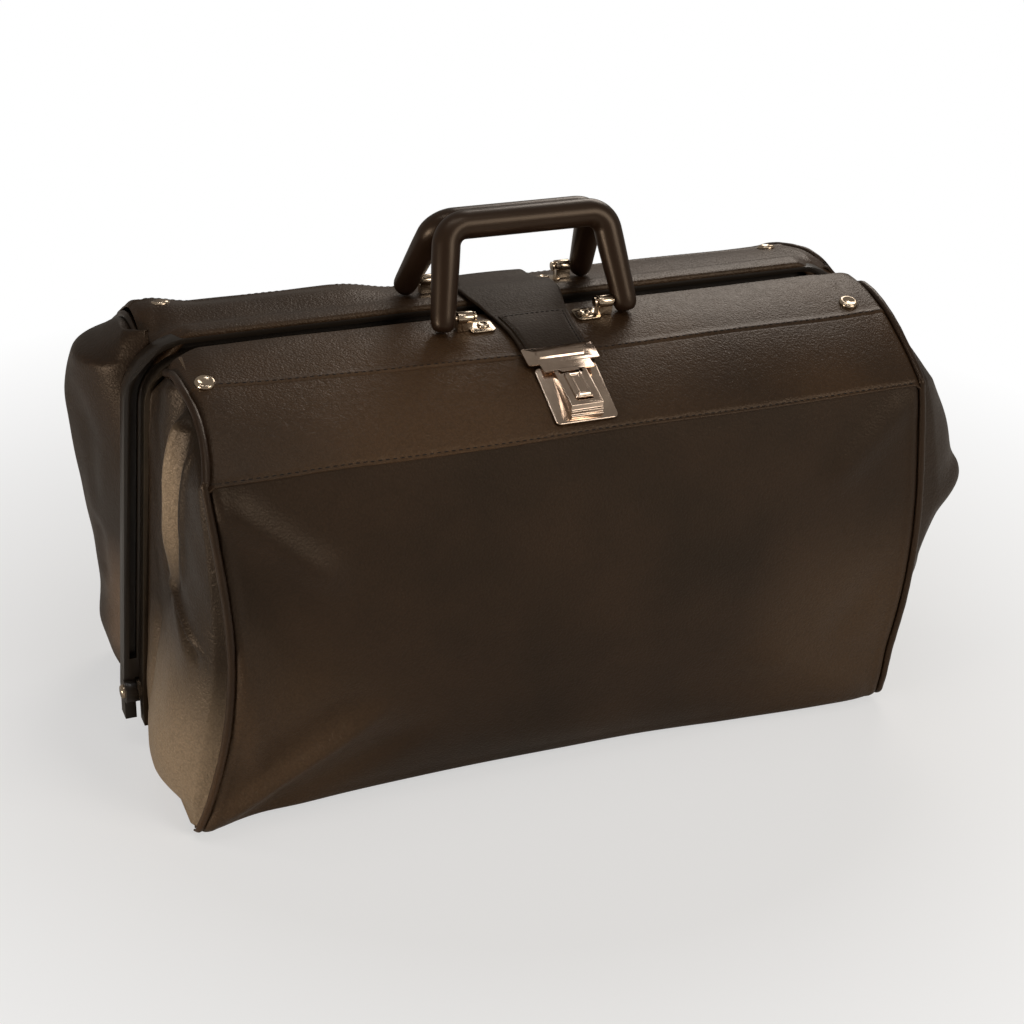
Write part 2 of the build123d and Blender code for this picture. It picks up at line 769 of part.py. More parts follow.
# Handle hinge plates: a flat foot riveted to the yoke and a knuckle that holds the pin
for face in (FRONT, BACK):
    ground = arch_plane(handle_pivot_y, metal_gap, face)
    knuckle_height = handle_pivot_lift - metal_gap
    for side in (LEFT, RIGHT):
        knuckle_middle = side * (knuckle_start_x + knuckle_end_x) / 2
        knuckle_length = knuckle_end_x - knuckle_start_x - running_gap
        with BuildPart() as plate:
            with BuildSketch(ground):
                with Locations((side * (plate_start_x + knuckle_start_x + 2) / 2, 0)):
                    RectangleRounded(knuckle_start_x + 2 - plate_start_x, plate_width, 3)
                with Locations((side * plate_rivet_x, 0)):
                    Circle(rivet_shank_radius + metal_gap, mode=Mode.SUBTRACT)
            extrude(amount=plate_thickness)
            with BuildSketch(ground):
                with Locations((knuckle_middle, 0)):
                    Rectangle(knuckle_length, 1.5 * knuckle_radius)
            extrude(amount=knuckle_height)
            knuckle_origin = ground.from_local_coords((knuckle_middle, 0, knuckle_height))
            with BuildSketch(Plane(origin=knuckle_origin, x_dir=(0, 1, 0), z_dir=(1, 0, 0))):
                Circle(knuckle_radius)
            extrude(amount=knuckle_length / 2, both=True)
            with BuildSketch(Plane(origin=knuckle_origin, x_dir=(0, 1, 0), z_dir=(1, 0, 0))):
                Circle(handle_pin_radius + metal_gap)
            extrude(amount=knuckle_length, both=True, mode=Mode.SUBTRACT)
        save(plate, f"{FACE_NAMES[face]}_{SIDE_NAMES[side]}_handle_plate")

    with BuildPart() as handle_pins:
        for side in (LEFT, RIGHT):
            pin_start = knuckle_start_x - 1.0
            pin_end = handle_foot_x + handle_foot_radius * 0.6
            pin_origin = ground.from_local_coords((side * (pin_start + pin_end) / 2, 0, knuckle_height))
            with BuildSketch(Plane(origin=pin_origin, x_dir=(0, 1, 0), z_dir=(1, 0, 0))):
                Circle(handle_pin_radius)
            extrude(amount=(pin_end - pin_start) / 2, both=True)
            head_origin = ground.from_local_coords((side * (pin_start - 0.6), 0, knuckle_height))
            with BuildSketch(Plane(origin=head_origin, x_dir=(0, 1, 0), z_dir=(1, 0, 0))):
                Circle(handle_pin_radius * 1.5)
            extrude(amount=0.6, both=True)
    save(handle_pins, f"{FACE_NAMES[face]}_handle_pins")

# Handles: a moulded bow with tapering legs, leaning inwards until the two bars meet
# The back bow leans further, so its bar rests just below and behind the front one's
handle_top_x = handle_foot_x - handle_splay
pivot_depth = arch_plane(handle_pivot_y, handle_pivot_lift, BACK).origin.Y
bar_away = 2 * pivot_depth - handle_height * math.sin(front_handle_lean)
bar_up = handle_height * math.cos(front_handle_lean)
bar_distance = 2 * handle_bar_radius + handle_rest_gap
bar_range = math.hypot(bar_away, bar_up)
bar_cosine = (handle_height**2 + bar_range**2 - bar_distance**2) / (2 * handle_height * bar_range)
back_handle_lean = math.atan2(bar_away, bar_up) - math.acos(bar_cosine)
for face in (FRONT, BACK):
    pivot = arch_plane(handle_pivot_y, handle_pivot_lift, face).origin
    lean = front_handle_lean if face == FRONT else back_handle_lean
    up = Vector(0, -face * math.sin(lean), math.cos(lean))
    bow_plane = Plane(origin=pivot, x_dir=(1, 0, 0), z_dir=Vector(1, 0, 0).cross(up))
    with BuildPart() as handle:
        with BuildLine(bow_plane) as bow:
            FilletPolyline(
                (-handle_foot_x, 0),
                (-handle_top_x, handle_height),
                (handle_top_x, handle_height),
                (handle_foot_x, 0),
                radius=handle_corner,
            )
        runs = bow.edges().filter_by(GeomType.LINE)
        legs = runs.sort_by(Axis.X)
        left_leg, top_bar, right_leg = legs[0], legs[1], legs[2]
        for leg in (left_leg, right_leg):
            foot_first = (leg @ 0).Z < (leg @ 1).Z
            foot_at, top_at = (0, 1) if foot_first else (1, 0)
            direction = (leg @ top_at) - (leg @ foot_at)
            with BuildSketch(Plane(origin=leg @ foot_at, x_dir=bow_plane.z_dir, z_dir=direction)):
                Circle(handle_foot_radius)
            with BuildSketch(Plane(origin=leg @ top_at, x_dir=bow_plane.z_dir, z_dir=direction)):
                Circle(handle_bar_radius)
            loft()
        for corner in bow.edges().filter_by(GeomType.CIRCLE):
            with BuildSketch(Plane(origin=corner @ 0, z_dir=corner % 0)):
                Circle(handle_bar_radius)
            sweep(path=corner)
        with BuildSketch(Plane(origin=top_bar @ 0, z_dir=top_bar % 0)):
            Circle(handle_bar_radius)
        extrude(amount=top_bar.length)
        for side in (LEFT, RIGHT):
            foot_centre = bow_plane.from_local_coords((side * handle_foot_x, 0, 0))
            with Locations(foot_centre):
                Sphere(handle_foot_radius)
            bore_end = handle_foot_x + handle_foot_radius * 0.6 + running_gap
            bore_start = handle_foot_x - 2 * handle_foot_radius
            bore_origin = bow_plane.from_local_coords((side * (bore_start + bore_end) / 2, 0, 0))
            with BuildSketch(Plane(origin=bore_origin, x_dir=(0, 1, 0), z_dir=(1, 0, 0))):
                Circle(handle_pin_radius + hinge_gap)
            extrude(amount=(bore_end - bore_start) / 2, both=True, mode=Mode.SUBTRACT)
    save(handle, f"{FACE_NAMES[face]}_handle")

# Closure strap: an anchor on the back yoke, a root over the mouth and a flap down the front yoke
strap_root_z = rim_top + strap_lift + bend_radius
strap_bend_z = arch_point(strap_bend_y, -strap_lift - strap_layer / 2, FRONT)[1]


def strap_cutter(points):
    """A tall block with the strap's outline seen from above, mirrored about the middle."""
    right = [(half, y) for y, half in points]
    left = [(-half, y) for y, half in reversed(points)]
    with BuildPart() as cutter:
        with BuildSketch(Plane.XY):
            with BuildLine():
                Polyline(*right, *left, close=True)
            make_face()
        extrude(amount=2 * crest_height)
    return cutter.part


anchor_start = strap_root_y + bend_radius + cloth_gap
anchor_step = back_lip_y + 2 * yoke_leather + 0.5
with BuildPart() as strap_anchor:
    with BuildSketch(Plane.YZ):
        anchor_bottom = rim_top + strap_lift
        with Locations(((anchor_start + anchor_step) / 2, anchor_bottom + strap_layer / 2)):
            Rectangle(anchor_step - anchor_start, strap_layer)
        with BuildLine():
            upper = ThreePointArc(
                arch_point(anchor_step + 4, -strap_lift - strap_layer, BACK),
                arch_point((anchor_step + anchor_end_y) / 2, -strap_lift - strap_layer, BACK),
                arch_point(anchor_end_y, -strap_lift - strap_layer, BACK),
            )
            lower = ThreePointArc(
                arch_point(anchor_step + 4, -strap_lift, BACK),
                arch_point((anchor_step + anchor_end_y) / 2, -strap_lift, BACK),
                arch_point(anchor_end_y, -strap_lift, BACK),
            )
            Line(upper @ 1, lower @ 1)
            Line(upper @ 0, (anchor_step, anchor_bottom + strap_layer))
            Line((anchor_step, anchor_bottom + strap_layer), (anchor_step, anchor_bottom))
            Line((anchor_step, anchor_bottom), lower @ 0)
        make_face()
    extrude(amount=base_length / 2, both=True)
    plate_edge = handle_pivot_y - plate_width / 2 - 2
    anchor_outline = [
        (anchor_start - 1, strap_root_half),
        (plate_edge - 3, strap_root_half),
        (plate_edge, anchor_half),
        (anchor_end_y + 1, anchor_half),
    ]
    add(strap_cutter(anchor_outline), mode=Mode.INTERSECT)
save(strap_anchor, "strap_anchor")

root_run = math.hypot(strap_root_y + strap_bend_y, strap_root_z - strap_bend_z)
root_length = root_run - bend_radius - cloth_gap
with BuildPart() as strap_root:
    with BuildSketch(Plane.YZ):
        direction = (
            -(strap_root_y + strap_bend_y) / root_run,
            -(strap_root_z - strap_bend_z) / root_run,
        )
        normal = (direction[1], -direction[0])
        half = strap_layer / 2
        corners = []
        for along, across in ((0, half), (root_length, half), (root_length, -half), (0, -half)):
            corners.append(
                (
                    strap_root_y + direction[0] * along + normal[0] * across,
                    strap_root_z + direction[1] * along + normal[1] * across,
                )
            )
        with BuildLine():
            Polyline(*corners, close=True)
        make_face()
        with Locations((strap_root_y, strap_root_z)):
            Circle(bend_radius)
    extrude(amount=base_length / 2, both=True)
    root_outline = [(strap_root_y + 2 * bend_radius, strap_root_half), (-strap_bend_y - 2, strap_bend_half)]
    add(strap_cutter(root_outline), mode=Mode.INTERSECT)
save(strap_root, "strap_root")

with BuildPart() as strap_flap:
    with BuildSketch(Plane.YZ):
        add(arch_band(strap_bend_y, strap_tip_y, -strap_lift - strap_layer, -strap_lift, FRONT))
        with Locations((-strap_bend_y, strap_bend_z)):
            Circle(bend_radius)
    extrude(amount=base_length / 2, both=True)
    flap_outline = [
        (-strap_bend_y + 2 * bend_radius, strap_bend_half),
        (-hasp_y + hasp_width / 2, strap_tip_half),
        (-strap_tip_y - 2, strap_tip_half),
    ]
    add(strap_cutter(flap_outline), mode=Mode.INTERSECT)
    with BuildSketch(arch_plane(hasp_y, 0, FRONT)):
        with Locations((-hasp_tongue_half, 0), (hasp_tongue_half, 0)):
            Rectangle(prong_width + 2 * metal_gap, prong_thickness + 2 * metal_gap)
    extrude(amount=8, mode=Mode.SUBTRACT)
save(strap_flap, "strap_flap")

facing_bottom = strap_lift + strap_layer + 0.1
with BuildPart() as strap_facing:
    with BuildSketch(Plane.YZ):
        facing_top = facing_bottom + facing_layer
        add(arch_band(facing_start_y, strap_tip_y - 1, -facing_top, -facing_bottom, FRONT))
    extrude(amount=facing_half, both=True)
    with BuildSketch(arch_plane(hasp_y, 0, FRONT)):
        with Locations((-hasp_tongue_half, 0), (hasp_tongue_half, 0)):
            Rectangle(prong_width + 2 * metal_gap, prong_thickness + 2 * metal_gap)
    extrude(amount=8, mode=Mode.SUBTRACT)
save(strap_facing, "strap_facing")

# Hasp: a pressed plate on the strap's tip, with a tongue and a staple that drops into the lock
hasp_base = facing_bottom + facing_layer + metal_gap
hasp_plane = arch_plane(hasp_y, hasp_base, FRONT)


def world_yz(plane, across, height):
    """The Y and Z of a point given in a tangent plane's own coordinates."""
    point = plane.from_local_coords((0, across, height))
    return (point.Y, point.Z)


staple_far = notch_start + 1.6
tongue_end = housing_high + running_gap
tongue_height = housing_high_height - lock_plate_metal
tip_height = lock_plate_metal + 0.6
with BuildPart() as hasp_plate:
    with BuildSketch(hasp_plane):
        RectangleRounded(hasp_length, hasp_width, 1.5)
    extrude(amount=hasp_metal)
    # The long pressed boss
    with BuildSketch(hasp_plane.offset(hasp_metal)):
        RectangleRounded(boss_length, boss_width, boss_corner)
    extrude(amount=boss_rise, taper=35)
    # The tongue, bent down towards the lock
    with BuildSketch(Plane.YZ):
        with BuildLine():
            Polyline(
                world_yz(hasp_plane, -hasp_width / 2 + 1, 0),
                world_yz(hasp_plane, -hasp_width / 2 + 1, hasp_metal),
                world_yz(hasp_plane, -hasp_width / 2, hasp_metal),
                world_yz(lock_plane, tongue_end, tongue_height + hasp_metal),
                world_yz(lock_plane, tongue_end, tongue_height),
                world_yz(hasp_plane, -hasp_width / 2, 0),
                close=True,
            )
        make_face()
    extrude(amount=hasp_tongue_half, both=True)
    # The staple, a narrower lug that hangs in the lock's notch
    with BuildSketch(Plane.YZ):
        with BuildLine():
            Polyline(
                world_yz(lock_plane, tongue_end + 1, tongue_height + hasp_metal),
                world_yz(lock_plane, staple_far, tongue_height + hasp_metal),
                world_yz(lock_plane, staple_far, tip_height),
                world_yz(lock_plane, staple_far + hasp_metal, tip_height),
                world_yz(lock_plane, staple_far + hasp_metal, tongue_height),
                world_yz(lock_plane, tongue_end + 1, tongue_height),
                close=True,
            )
        make_face()
    extrude(amount=staple_half, both=True)
    # Two prongs through the strap
    with BuildSketch(hasp_plane):
        with Locations((-hasp_tongue_half, 0), (hasp_tongue_half, 0)):
            Rectangle(prong_width, prong_thickness)
    extrude(amount=-(hasp_base - strap_lift - 0.2))
save(hasp_plate, "hasp_plate")

# Lock: base plate with prongs, backing plate, housing, slider with its button, bolt and spring
with BuildPart() as lock_base_plate:
    with BuildSketch(lock_plane):
        RectangleRounded(lock_plate_width, lock_plate_length, 3.5)
    extrude(amount=lock_plate_metal)
    prong_reach = yoke_leather + lock_backing_metal + 2.2
    with BuildSketch(lock_plane):
        with GridLocations(2 * prong_x, 2 * prong_v, 2, 2):
            Rectangle(prong_width, prong_thickness)
    extrude(amount=-prong_reach)
save(lock_base_plate, "lock_base_plate")

backing_half = lock_plate_length / 2 - 2
arch_sag = backing_half**2 / (2 * (arch_radius - yoke_leather))
with BuildPart() as lock_backing_plate:
    backing_drop = yoke_leather + arch_sag + 2 * metal_gap
    with BuildSketch(lock_plane.offset(-backing_drop)):
        RectangleRounded(lock_plate_width - 4, 2 * backing_half, 3)
        with GridLocations(2 * prong_x, 2 * prong_v, 2, 2):
            Rectangle(prong_width + 2 * metal_gap, prong_thickness + 2 * metal_gap, mode=Mode.SUBTRACT)
    extrude(amount=-lock_backing_metal)
save(lock_backing_plate, "lock_backing_plate")

lock_side_plane = Plane(origin=lock_plane.origin, x_dir=lock_plane.y_dir, z_dir=(1, 0, 0))
top_slope = (housing_high_height - housing_low_height) / (housing_high - housing_low - 4)


def housing_top(v):
    """The height of the housing's sloping top at v, measured up the yoke."""
    return housing_high_height + top_slope * (v - housing_high)


with BuildPart() as lock_housing:
    with BuildSketch(lock_side_plane):
        with BuildLine():
            Polyline(
                (housing_low, lock_plate_metal),
                (housing_low, lock_plate_metal + 2.6),
                (housing_low + 1.6, lock_plate_metal + 2.6),
                (housing_low + 1.6, lock_plate_metal + 5.0),
                (housing_low + 3.2, lock_plate_metal + 5.0),
                (housing_low + 4.2, housing_top(housing_low + 4.2)),
                (housing_high, housing_high_height),
                (housing_high, lock_plate_metal),
                close=True,
            )
        make_face()
    extrude(amount=housing_half, both=True)
    # The cavity for the slider and its spring
    cavity_low = housing_low + 4.0
    with BuildSketch(lock_side_plane):
        with BuildLine():
            Polyline(
                (cavity_low, lock_plate_metal),
                (cavity_low, housing_top(cavity_low) - housing_wall),
                (housing_high, housing_high_height - housing_wall),
                (housing_high, lock_plate_metal),
                close=True,
            )
        make_face()
    extrude(amount=slider_half + metal_gap, both=True, mode=Mode.SUBTRACT)
    with BuildSketch(lock_plane.offset(lock_plate_metal)):
        with Locations((0, (spring_room_low + cavity_low) / 2)):
            Rectangle(2 * spring_room_half, cavity_low - spring_room_low + 0.2)
    extrude(amount=spring_room_height, mode=Mode.SUBTRACT)
    # The window the button shows through, with room for its travel
    with BuildSketch(lock_plane):
        window_low = -button_reach - button_travel - metal_gap
        window_high = button_reach + metal_gap
        with Locations((0, (window_low + window_high) / 2)):
            Rectangle(2 * (button_half + metal_gap), window_high - window_low)
    extrude(amount=2 * housing_low_height, mode=Mode.SUBTRACT)
    # The notch the staple drops into
    with BuildSketch(lock_plane):
        with Locations((0, (notch_start + housing_high + 1) / 2)):
            Rectangle(2 * notch_half, housing_high + 1 - notch_start)
    extrude(amount=2 * housing_low_height, mode=Mode.SUBTRACT)
save(lock_housing, "lock_housing")

slider_floor = lock_plate_metal + metal_gap
with BuildPart() as lock_button:
    with BuildSketch(lock_plane.offset(slider_floor)):
        Rectangle(2 * slider_half, 2 * slider_reach)
    extrude(amount=slider_thickness)
    with BuildSketch(lock_side_plane):
        with BuildLine():
            Polyline(
                (-button_reach, slider_floor),
                (-button_reach, housing_top(-button_reach) + button_stand),
                (button_reach, housing_top(button_reach) + button_stand),
                (button_reach, slider_floor),
                close=True,
            )
        make_face()
    extrude(amount=button_half, both=True)
    # The cap slides just above the housing's sloping top
    with BuildSketch(lock_side_plane):
        with BuildLine():
            Polyline(
                (button_cap_low, housing_top(button_cap_low) + metal_gap),
                (button_cap_low, housing_top(button_cap_low) + button_stand),
                (button_cap_high, housing_top(button_cap_high) + button_stand),
                (button_cap_high, housing_top(button_cap_high) + metal_gap),
                close=True,
            )
        make_face()
    extrude(amount=button_cap_half, both=True)
save(lock_button, "lock_button")

with BuildPart() as lock_bolt:
    with BuildSketch(lock_plane.offset(slider_floor)):
        with Locations((0, (slider_reach + bolt_reach) / 2)):
            Rectangle(2 * bolt_half, bolt_reach - slider_reach)
    extrude(amount=bolt_thickness)
save(lock_bolt, "lock_bolt")

# The spring, drawn at its shortest, between the slider's lower end and the housing
spring_room = spring_room_low + metal_gap
spring_end = -slider_reach - button_travel - metal_gap
spring_axis_height = slider_floor + spring_radius + spring_wire
spring_length = spring_end - spring_room - 2 * spring_wire
spring_foot = lock_plane.from_local_coords((0, spring_room + spring_wire, spring_axis_height))
with BuildPart() as spring_pattern:
    with BuildLine() as coil:
        Helix(pitch=spring_length / spring_coils, height=spring_length, radius=spring_radius)
    with BuildSketch(Plane(origin=coil.line @ 0, z_dir=coil.line % 0)):
        Circle(spring_wire)
    sweep(path=coil.line, is_frenet=True)
with BuildPart() as lock_spring:
    with Locations(Plane(origin=spring_foot, x_dir=(1, 0, 0), z_dir=lock_plane.y_dir).location):
        add(spring_pattern.part)
save(lock_spring, "lock_spring")
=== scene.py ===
# %% [markdown]
# A framed medical bag
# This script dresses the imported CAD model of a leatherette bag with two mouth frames. The CAD frame fixes
# every place and every joint, and the script makes what a camera sees: sewn leather, piping, stitches,
# moulded handles and plated metal. Lengths are written in millimetres and scaled once, when a mesh is
# made.

# %% Load the frame
import json
import math

import bmesh
import bpy
import numpy as np
from mathutils import Matrix, Vector

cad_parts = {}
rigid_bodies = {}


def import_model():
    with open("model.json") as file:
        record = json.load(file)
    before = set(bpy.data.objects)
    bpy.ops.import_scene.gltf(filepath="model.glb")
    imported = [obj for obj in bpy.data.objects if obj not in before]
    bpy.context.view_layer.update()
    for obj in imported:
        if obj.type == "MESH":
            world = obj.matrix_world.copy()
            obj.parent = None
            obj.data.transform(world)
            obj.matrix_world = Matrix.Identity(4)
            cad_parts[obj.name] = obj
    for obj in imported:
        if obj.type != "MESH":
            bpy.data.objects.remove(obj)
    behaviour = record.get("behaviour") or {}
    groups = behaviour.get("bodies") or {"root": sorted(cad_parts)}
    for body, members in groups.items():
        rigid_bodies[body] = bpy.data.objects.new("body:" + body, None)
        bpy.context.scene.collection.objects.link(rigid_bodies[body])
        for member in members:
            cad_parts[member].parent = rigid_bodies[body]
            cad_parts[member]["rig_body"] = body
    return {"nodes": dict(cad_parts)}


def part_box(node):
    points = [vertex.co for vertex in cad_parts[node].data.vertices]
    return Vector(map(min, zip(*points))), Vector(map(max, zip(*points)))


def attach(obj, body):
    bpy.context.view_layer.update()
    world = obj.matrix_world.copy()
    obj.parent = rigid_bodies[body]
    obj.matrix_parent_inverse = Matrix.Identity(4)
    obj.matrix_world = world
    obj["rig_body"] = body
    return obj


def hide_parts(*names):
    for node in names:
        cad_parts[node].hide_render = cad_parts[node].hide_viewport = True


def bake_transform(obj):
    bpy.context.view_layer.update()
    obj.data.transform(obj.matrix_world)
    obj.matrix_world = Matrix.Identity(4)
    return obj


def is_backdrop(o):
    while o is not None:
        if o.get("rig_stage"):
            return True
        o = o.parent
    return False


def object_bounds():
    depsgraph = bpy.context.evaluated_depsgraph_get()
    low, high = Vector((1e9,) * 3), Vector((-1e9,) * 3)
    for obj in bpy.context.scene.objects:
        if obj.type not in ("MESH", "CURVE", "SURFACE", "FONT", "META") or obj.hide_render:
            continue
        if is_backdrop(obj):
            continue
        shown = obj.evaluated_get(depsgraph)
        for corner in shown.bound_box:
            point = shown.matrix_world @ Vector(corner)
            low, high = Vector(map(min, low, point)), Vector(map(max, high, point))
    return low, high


for leftover in list(bpy.data.objects):
    bpy.data.objects.remove(leftover)
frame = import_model()
bpy.context.view_layer.update()
cad_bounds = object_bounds()
mm = 0.001
print("CAD box, mm:", [[round(v / mm, 1) for v in corner] for corner in cad_bounds])

# %% [markdown]
# Colours and nodes
# Colours are written as sRGB hex, as a colour card gives them. Cycles works in linear light, so one
# function turns them. One small helper adds a shader node and another fills its inputs, so each material
# below reads like a recipe.


# %% Colour and node helpers
def linear(hex_colour):
    """sRGB hex to linear light: the dark end is divided by 12.92, the rest follows a power of 2.4."""
    channels = np.array([int(hex_colour[i : i + 2], 16) for i in (1, 3, 5)]) / 255
    low = channels / 12.92
    high = ((channels + 0.055) / 1.055) ** 2.4
    return (*np.where(channels <= 0.04045, low, high), 1.0)


def fill(tree, node, inputs):
    """Fill a node's inputs: link a socket, or a node's first enabled output, and set other values."""
    for name, value in dict(inputs).items():
        if isinstance(value, bpy.types.Node):
            value = next(output for output in value.outputs if output.enabled)
        if isinstance(value, bpy.types.NodeSocket):
            tree.links.new(value, node.inputs[name])
        else:
            node.inputs[name].default_value = value


def add(tree, kind, inputs=(), **settings):
    """Add a node with its settings and inputs."""
    made = tree.nodes.new("ShaderNode" + kind)
    for name, value in settings.items():
        setattr(made, name, value)
    fill(tree, made, inputs)
    return made


def new_material(name, **sockets):
    """A material with one Principled shader, some plain values, and the object's own coordinates."""
    material = bpy.data.materials.new(name)
    material.use_nodes = True
    tree = material.node_tree
    shader = tree.nodes["Principled BSDF"]
    fill(tree, shader, {socket.replace("_", " "): value for socket, value in sockets.items()})
    return material, tree, shader, add(tree, "TexCoord").outputs["Object"]


def every(size, place, **more):
    """The inputs of a pattern whose features come about every so many mm."""
    return {"Vector": place, "Scale": 1 / (size * mm), **more}


def two_tone(tree, factor, dark, light):
    """A ramp from one colour to another, driven by a pattern."""
    ramp = add(tree, "ValToRGB", {"Fac": factor})
    for element, colour in zip(ramp.color_ramp.elements, (dark, light)):
        element.color = linear(colour)
    return ramp


print("dark leather in linear light:", [round(float(v), 4) for v in linear("#2d241f")[:3]])

# %% [markdown]
# Leatherette
# The bag is covered in PVC-coated cloth. A hot steel roller presses a pebble grain into the soft coating,
# so the pebbles are rounded, the creases between them are narrow, and the whole has a semi-gloss. The
# creases between the pebbles are darkened with painted shade, and each place has its own tones and
# paler spots, partly painted light and shade. A cell pattern gives the pebbles and a stretched noise the
# creases where the sheet has been flexed. The real pebbles are about 0.9 mm, finer than a pixel, so they
# are drawn at 1.5 mm to show.
# Years of wax have tinted the coating's gloss a warm brown.

# %% Leatherette
pebble_size = 1.5
crease_size = 5.0
stain_size = 90.0
waxed_tint = linear("#ead4bd")


def light_and_wear_spot(tree, place, centre, reach, tall):
    """1 inside a spot that fades out at its reach in mm; tall stretches it upwards."""
    centre = tuple(v * mm for v in centre)
    offset = add(tree, "VectorMath", {0: place, 1: centre}, operation="SUBTRACT")
    squeeze = {0: offset, 1: (1.0, 1.0, 1 / tall)}
    squeezed = add(tree, "VectorMath", squeeze, operation="MULTIPLY")
    away = add(tree, "VectorMath", {0: squeezed}, operation="LENGTH")
    fading = {"From Min": 0.2 * reach * mm, "From Max": reach * mm, "To Min": 1.0, "To Max": 0.0}
    fading["Value"] = away
    spot = add(tree, "MapRange", fading, interpolation_type="SMOOTHSTEP")
    return spot


def leatherette(name, dark, light, light_and_wear_tone, spots, roughness, grain):
    """Pressed grain, its depth in mm, over a coating made paler and flexed deeper in its spots; the paler
    spots are painted light where they stand for lit places, and the pebbles' hollows get painted shade.
    """
    material, tree, shader, place = new_material(name, IOR=1.5, Specular_Tint=waxed_tint)
    stain = add(tree, "TexNoise", every(stain_size, place, Detail=3.0))
    cells = every(pebble_size, place, Smoothness=0.6, Randomness=1.0)
    pebbles = add(tree, "TexVoronoi", cells, feature="SMOOTH_F1")
    wrinkled = every(crease_size, place, Detail=5.0, Roughness=0.62, Distortion=1.4)
    creases = add(tree, "TexNoise", wrinkled)
    light_and_wear = light_and_wear_spot(tree, place, *spots[0])
    for spot in spots[1:]:
        both = {0: light_and_wear, 1: light_and_wear_spot(tree, place, *spot)}
        light_and_wear = add(tree, "Math", both, operation="MAXIMUM")
    ramp = two_tone(tree, stain, dark, light)
    for element, position in zip(ramp.color_ramp.elements, (0.35, 0.68)):
        element.position = position
    # The paler tone in the spots is painted light on the walls, the front left gusset and its piping; on
    # the yokes and the back left gusset it is a paler patch.
    colours = {0: light_and_wear, 6: ramp, 7: linear(light_and_wear_tone)}
    toned = add(tree, "Mix", colours, data_type="RGBA")
    # Painted shade: the hollows between the pebbles are darkened by up to a quarter.
    span = {"From Min": 0.2, "From Max": 0.75, "To Min": 1.0, "To Max": 0.75}
    hollow = add(tree, "MapRange", {"Value": pebbles, **span})
    layers = {0: 1.0, 6: toned, 7: hollow}
    shaded = add(tree, "Mix", layers, data_type="RGBA", blend_type="MULTIPLY")
    gloss = {"To Min": roughness - 0.08, "To Max": roughness + 0.1}
    dulled = add(tree, "MapRange", {"Value": creases, **gloss})
    fill(tree, shader, {"Base Color": shaded, "Roughness": dulled})
    flex = add(tree, "Math", {0: light_and_wear, 1: 0.6, 2: 0.35}, operation="MULTIPLY_ADD")
    relief = {"Height": creases, "Strength": flex}
    flexed = add(tree, "Bump", {**relief, "Distance": 2.6 * grain * mm})
    relief = {"Height": pebbles, "Strength": 0.6, "Distance": grain * mm}
    relief["Normal"] = flexed
    pressed = add(tree, "Bump", relief, invert=True)
    fill(tree, shader, {"Normal": pressed})
    return material


# Each spot: centre in mm, reach in mm, and how much taller than wide it is
yoke_spots = [((-90.0, -106.0, 262.0), 120.0, 1.0)]
# Painted light: the front wall is paler low at its left and right ends, where light falls on it.
wall_spots = [((-216.0, -128.0, 52.0), 120.0, 1.0), ((205.0, -128.0, 70.0), 110.0, 1.0)]
# Painted light: the front left gusset is paler low down, where light from the left falls, and a tall narrow
# spot paints a highlight up its roll.
gusset_spots = [((-258.0, -84.0, 30.0), 115.0, 1.0), ((-250.0, -75.0, 219.0), 14.0, 5.0)]
bulge_spots = [((-270.0, 24.0, 72.0), 60.0, 1.3)]
nowhere = [((0.0, 0.0, -900.0), 10.0, 1.0)]
# Each leather: dark and light tone, paler tone, paler spots, roughness and depth of grain in mm. The tones
# are partly painted light and shade: the yokes, which face up, are paler than the walls, and the gussets
# are darkest, painted shade in the front left gusset's valleys and on the quarters that face away from the
# light.
leathers = {
    "yokes": ("#2e1f13", "#422e1c", "#503924", yoke_spots, 0.43, 0.34),
    "walls": ("#22170f", "#34251a", "#4a3828", wall_spots, 0.47, 0.30),
    "front left gusset": ("#1c130b", "#2b1d11", "#99866f", gusset_spots, 0.38, 0.32),
    "other gussets, painted shade": ("#1d140d", "#2c1e14", "#6a5440", bulge_spots, 0.44, 0.32),
    "strap": ("#1c130c", "#281b12", "#281b12", nowhere, 0.58, 0.24),
    # The piping takes the front left gusset's low spot: painted light low at the front left corner.
    "piping": ("#241810", "#352417", "#4a3523", gusset_spots[:1], 0.38, 0.16),
}
made = [leatherette(f"pressed leatherette, {place}", *recipe) for place, recipe in leathers.items()]
yoke_leather, wall_leather, gusset_leather, shaded_gusset_leather, strap_leather, piping_leather = made
print("leatherettes made:", [material.name for material in made])

# %% [markdown]
# Metals, plastic, thread and cloth
# The lock, hasp, handle plates and rivets are steel, pressed and then nickel-chrome plated: bright, with
# the faint waviness of a thin pressing. The front frame is bare spring steel gone dull, and the back
# frame is stove-enamelled black. The handles are injection-moulded, with a fine sparked texture. Thread
# is polyester.


# %% Metals, plastic, thread and cloth
scuff_size = 1.2
cloud_size = 40.0


def two_tone_relief(tree, shader, colour, tone, pattern, strength, depth):
    """Draw a shader's two tones with one pattern and raise its surface, depth mm, with another."""
    ramp = two_tone(tree, tone, *colour)
    raised = add(tree, "Bump", {"Height": pattern, "Strength": strength, "Distance": depth * mm})
    fill(tree, shader, {"Base Color": ramp, "Normal": raised})


